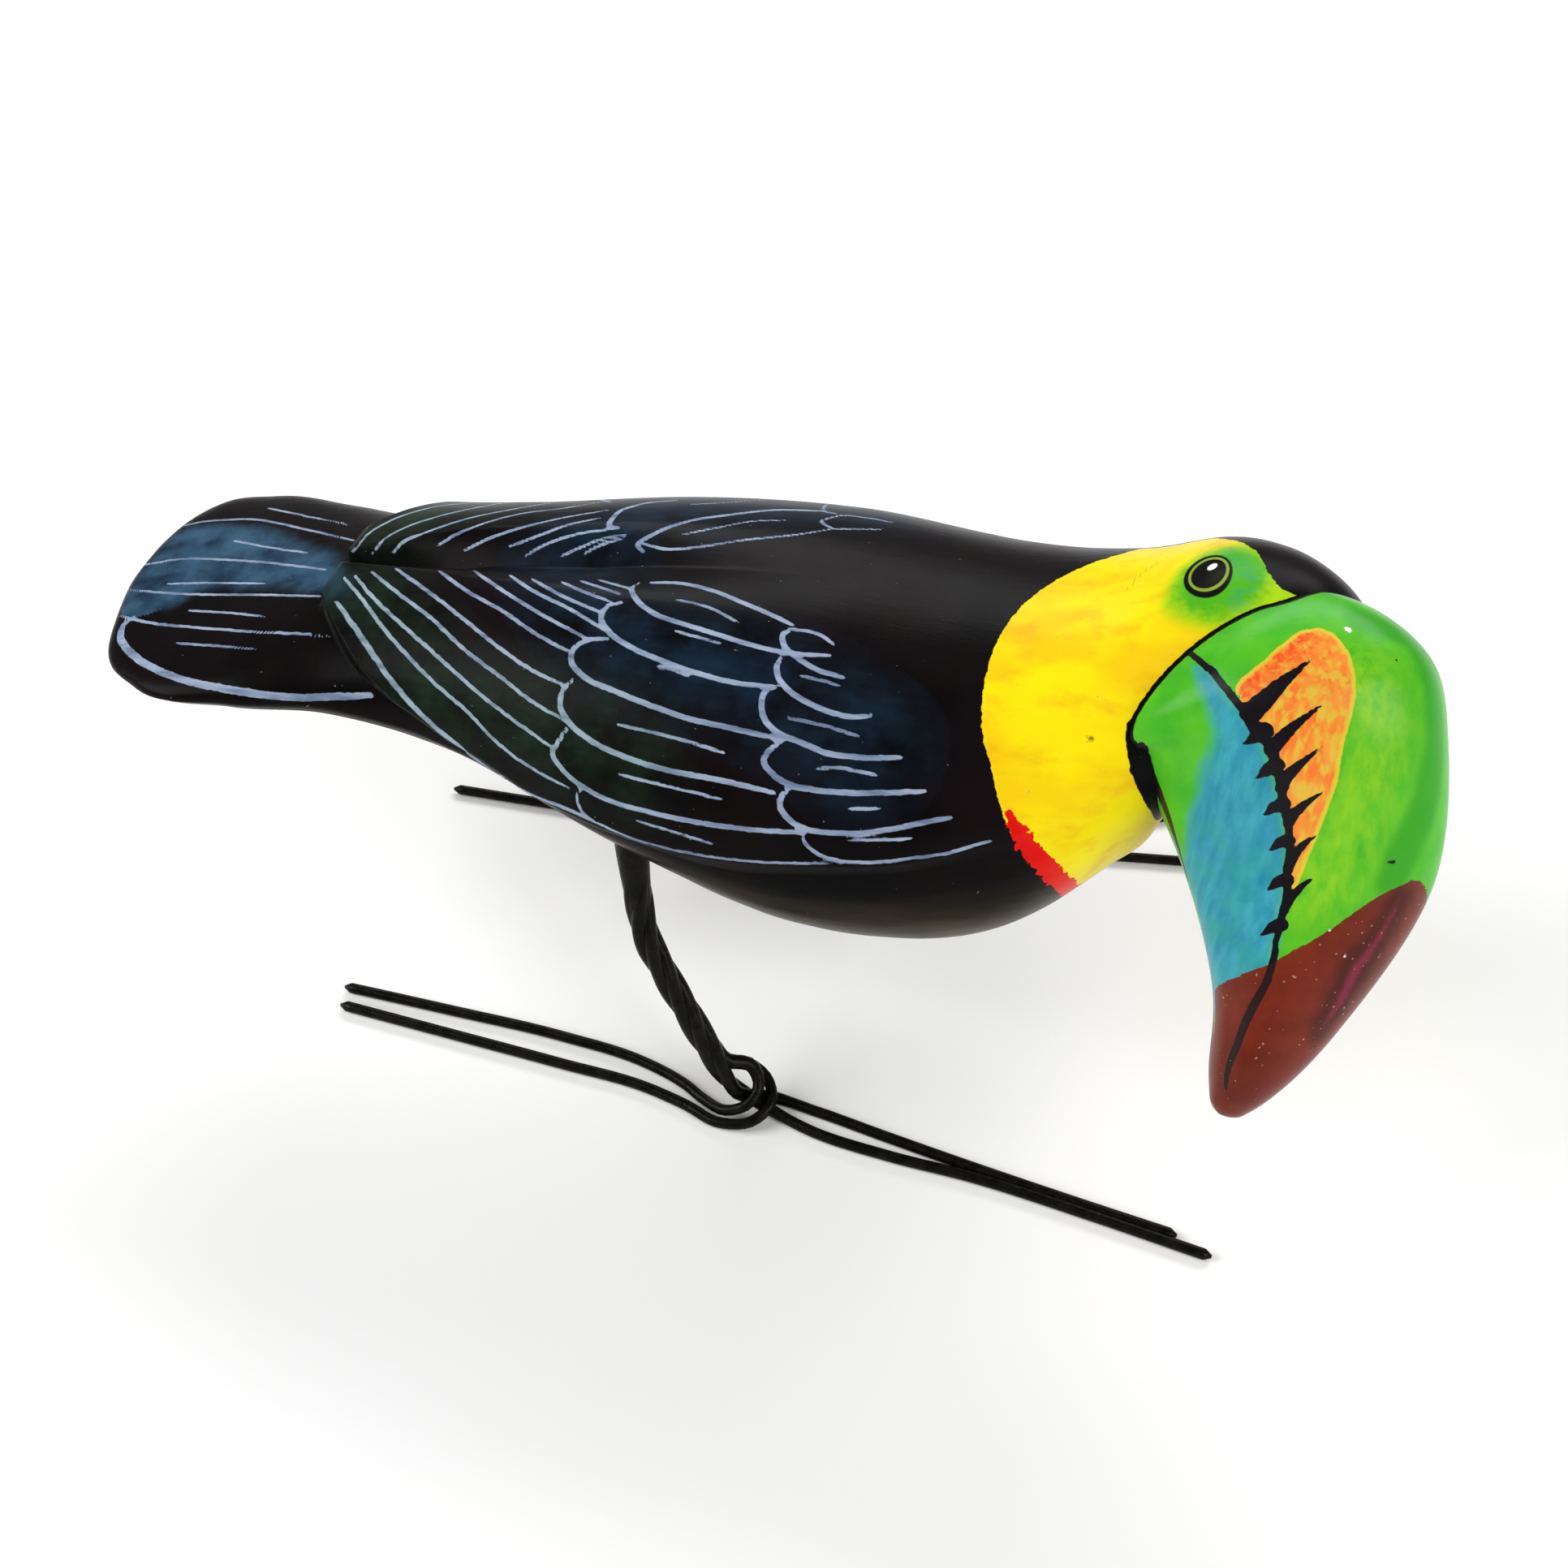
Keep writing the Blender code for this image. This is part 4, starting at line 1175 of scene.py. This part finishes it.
def paint_body(form, crease):
    """The fields of the body's paint, by name."""
    near_wing = stroke_tracks(form, WING_STROKES)
    strokes = [*near_wing, *stroke_tracks(form, TAIL_STROKES), *stroke_tracks(form, FAR_STROKES),
               *hidden(form, mirrored(near_wing))]

    near_edge = np.vstack([seen_edge(form, BIB_EDGE), form.spots(BIB_BENEATH)])
    near_bib = painted_area(form, near_edge, form.spots(BIB_FRONT))
    far_bib = painted_area(form, form.spots(FAR_BIB_EDGE), form.spots(FAR_BIB_FRONT))
    band, share, keys = seen_track(form, *RED_BAND)
    beneath = form.spots(RED_BENEATH)
    widths = np.append(np.interp(share, keys, RED_WIDTHS), [RED_WIDTHS[-1]] * len(beneath))
    red = [(np.vstack([band, beneath]), widths)]

    spot = eye_spot(form)
    eye = eye_axes(form, spot)
    far_eye = eye_axes(form, lowered(form, spot * (1, -1)))
    patch = np.repeat(form.cast([PATCH])[0], 2, axis=0)
    ring = form.cast(TEAL_RING)[0]
    lime = form.cast(LIME)[0]

    on_wing = np.clip((1 + WING_LIP - form.share.ravel()) / WING_LIP, 0, 1)
    on_wing *= np.repeat(form.place, form.columns) > WING_TIP
    blue = np.maximum(on_both_sides(form, soft_tint(form, BLUE_WING)), soft_tint(form, BLUE_FAR))
    green = on_both_sides(form, soft_tint(form, GREEN_WING))
    # Black paint with painted shadow beneath the beak's base.
    shade = gap_to(form, shaped_tracks(form, BASE_SHADE))
    return {
        "stroke": gap_to(form, strokes),
        "bib": np.maximum(near_bib, far_bib),
        "red": gap_to(form, [*red, *mirrored(red)], WIDE_MARGIN),
        "patch": line_gap(form, patch, lowered(form, patch * (1, -1))),
        "teal_ring": line_gap(form, ring, lowered(form, ring * (1, -1))),
        "lime": line_gap(form, lime, lime * (1, -1)),
        "eye_x": eye[:, 0],
        "eye_y": eye[:, 1],
        "far_eye_x": far_eye[:, 0],
        "far_eye_y": far_eye[:, 1],
        "blue": blue * on_wing,
        "green": green * on_wing,
        "tail_blue": painted_area(form, seen_edge(form, BLUE_TAIL)),
        # Olive paint of the belly with a painted reflection of the floor, growing towards the
        # bottom.
        "belly_olive_and_reflection": from_the_back(form, *OLIVE_AND_REFLECTION_FADE),
        "smudge": gap_to(form, shaped_tracks(form, BELLY_MARKS)),
        # Black line where head and bill meet, widened by the painted shadow beneath the beak's
        # base.
        "crease": np.minimum(distance_to(form, crease), CREASE_LINE + shade),
    }


def paint_beak(form, crease):
    """The fields of the beak's paint, by name."""
    ink = shaped_tracks(form, INK)
    # Painted shade down the beak's outer sides, laid on both sides.
    shade_strip = shaped_tracks(form, SHADE_STRIP)
    shade_strip = gap_to(form, [*shade_strip, *mirrored(shade_strip)], WIDE_MARGIN)
    tip_edge = np.vstack([form.spots(TIP_BEFORE), seen_edge(form, TIP_EDGE)])
    tip = painted_area(form, tip_edge, form.spots(TIP_FRONT))
    return {
        # Black paint, one stroke of it painted shadow beneath the beak's base.
        "ink": gap_to(form, [*ink, *mirrored(ink)]),
        "chip": gap_to(form, shaped_tracks(form, CHIPS)),
        "orange": on_both_sides(form, painted_area(form, seen_edge(form, ORANGE))),
        "teal": on_both_sides(form, painted_area(form, seen_edge(form, TEAL))),
        "low_side": from_the_back(form, *LOW_SIDE),
        "tip": on_both_sides(form, tip),
        # Painted highlight down the maroon tip's ridge, with painted shade round it.
        "streak": gap_to(form, shaped_tracks(form, TIP_HIGHLIGHT), WIDE_MARGIN),
        # Painted shade down the beak's outer sides.
        "shade_strip": np.clip(1 - shade_strip / SHADE_STRIP_FADE, 0, 1),
        "warm": on_both_sides(form, soft_tint(form, WARM)),
        "red_end": on_both_sides(form, soft_tint(form, RED_END)),
        "dot": gap_to(form, shaped_tracks(form, GREEN_DOT)),
        "crease": distance_to(form, crease),
    }


def on_side(points, side):
    """The right leg's points for the side -1, right, or 1, left."""
    points = np.array(points, float)
    points[:, 1] *= -side
    return points


def carried_frames(points, first_up):
    """Two directions square to the path at each point, carried along it without twisting."""
    tangents = np.gradient(points, axis=0)
    tangents /= np.linalg.norm(tangents, axis=1, keepdims=True)
    up = np.asarray(first_up, float)
    frames = []
    for tangent in tangents:
        up = up - tangent * (up @ tangent)
        up = up / np.linalg.norm(up)
        frames.append((np.cross(tangent, up), up))
    return frames


def tube(points, radii):
    """Vertices and faces of a closed tube with rounded ends along the points."""
    ends = np.minimum(arc_lengths(points), arc_lengths(points[::-1])[::-1])
    radii = radii * rounded(ends / WIRE_END, 0.09)
    angles = 2 * pi * np.arange(WIRE_SIDES) / WIRE_SIDES
    vertices = np.concatenate([
        [point + radius * (side * sin(a) - up * cos(a)) for a in angles]
        for point, radius, (side, up) in zip(points, radii, carried_frames(points, (0, 0, 1)))
    ])
    count = len(points)
    faces = [
        (i * WIRE_SIDES + j, i * WIRE_SIDES + (j + 1) % WIRE_SIDES,
         (i + 1) * WIRE_SIDES + (j + 1) % WIRE_SIDES, (i + 1) * WIRE_SIDES + j)
        for i in range(count - 1) for j in range(WIRE_SIDES)
    ]
    faces.append(tuple(range(WIRE_SIDES))[::-1])
    faces.append(tuple(range((count - 1) * WIRE_SIDES, count * WIRE_SIDES)))
    return vertices, faces


def spread_out(toe, spread):
    """A toe's points moved outward, the more the further they are from the ankle."""
    toe = np.array(toe, float)
    way = (toe[:, 0] - toe[-1, 0]) / (toe[0, 0] - toe[-1, 0])
    toe[:, 1] -= spread * np.maximum(way, 0) ** 2
    return toe


def leg_tubes(side):
    """The four wires of a leg and the paint between them, as points and radii in mm."""
    foot = on_side(SHANK[:1], side)[0]
    lean = np.array(SEAT_LEAN) * (1, -side, 1)
    top = foot + lean / np.linalg.norm(lean) * SEAT_DEPTH
    core = along(np.vstack([on_side(SHANK[::-1], side), top]), WIRE_STEP)
    frames = carried_frames(core, (1, 0, 0))
    share = np.linspace(0, 1, len(core))
    tubes = []
    for (toe, start, left_out), spread in zip(TOES, LEFT_SPREAD):
        toe = spread_out(toe, spread if side > 0 else 0)
        level = on_side(toe, side)
        level[:, 2] *= TOE_WIRE
        angle = radians(start) - 2 * pi * TURNS * share
        twist = np.array([
            point + STRAND_OFFSET * TWIST_WIRE * (-side * across * cos(a) + up * sin(a))
            for point, (across, up), a in zip(core, frames, angle)
        ])[ceil(left_out * len(core)):]
        points = np.vstack([level, twist[::3]])
        joins = arc_lengths(points)[len(level)]
        path = along(points, WIRE_STEP)
        reached = arc_lengths(path)
        widths = np.interp(reached, (joins - WIDTH_RAMP[0], joins - WIDTH_RAMP[1]),
                           (TOE_WIRE, TWIST_WIRE))
        path[:, 2] = np.maximum(path[:, 2], widths / 2)
        tubes.append((path, widths / 2))
    kept = core[ceil(CORE_FROM * len(core)):]
    tubes.append((kept, read(CORE_RADIUS, np.linspace(0, 1, len(kept)))))
    return tubes


def leg_object(name, side, material):
    vertices = []
    faces = []
    for points, radii in leg_tubes(side):
        more, rings = tube(points, radii)
        start = sum(map(len, vertices))
        faces += [tuple(start + k for k in ring) for ring in rings]
        vertices.append(more)
    return mesh_object(name, np.concatenate(vertices), faces, material)


def area_light(name, place, target, size, power):
    lamp = bpy.data.lights.new(name, "AREA")
    lamp.shape = "RECTANGLE"
    lamp.size, lamp.size_y = size
    lamp.energy = power
    obj = bpy.data.objects.new(name, lamp)
    obj.location = place
    obj.rotation_euler = (Vector(target) - Vector(place)).to_track_quat("-Z", "Y").to_euler()
    bpy.context.scene.collection.objects.link(obj)


def studio():
    world = bpy.data.worlds.new("studio")
    world.use_nodes = True
    background = world.node_tree.nodes["Background"]
    background.inputs["Color"].default_value = (1, 1, 1, 1)
    background.inputs["Strength"].default_value = WORLD_LIGHT
    bpy.context.scene.world = world
    bpy.context.scene.view_settings.view_transform = "Standard"
    for light in LIGHTS:
        area_light(*light)


def camera():
    data = bpy.data.cameras.new("camera")
    data.sensor_width = SENSOR
    data.lens = FOCAL / PICTURE * SENSOR
    data.clip_start = 0.01
    obj = bpy.data.objects.new("camera", data)
    turned = Matrix((RIGHT, UP, TOWARDS)).transposed()
    obj.matrix_world = Matrix.Translation(Vector(EYE_POINT * MM + SHIFT)) @ turned.to_4x4()
    bpy.context.scene.collection.objects.link(obj)
    bpy.context.scene.camera = obj


body = body_form()
beak = beak_form()
# From the bird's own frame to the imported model's, whose origin is the middle of its box.
low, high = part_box("ceramic_toucan")
ceramic = np.vstack([body.flat, beak.flat])
ceramic_middle = (ceramic[:, 1].min() + ceramic[:, 1].max()) / 2 * MM
SHIFT = np.array([low.x - ceramic[:, 0].min() * MM, (low.y + high.y) / 2 - ceramic_middle, 0.0])

camera()
studio()
corners = [(FLOOR_HALF * x, FLOOR_HALF * y, 0) for x, y in ((-1, -1), (1, -1), (1, 1), (-1, 1))]
floor = mesh_object("floor", corners, [(0, 1, 2, 3)], floor_material(), place=False)

crease = crease_points(body, beak)
toucan_body = form_object("toucan_body", body, body_material(), paint_body(body, crease))
toucan_beak = form_object("toucan_beak", beak, beak_material(), paint_beak(beak, crease))
for piece in (toucan_body, toucan_beak):
    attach(piece, "root")
    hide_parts("ceramic_toucan")

black = wire_material()
for name, side in (("right_leg", -1), ("left_leg", 1)):
    piece = leg_object(f"toucan_{name}", side, black)
    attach(piece, "root")
    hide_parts(name)
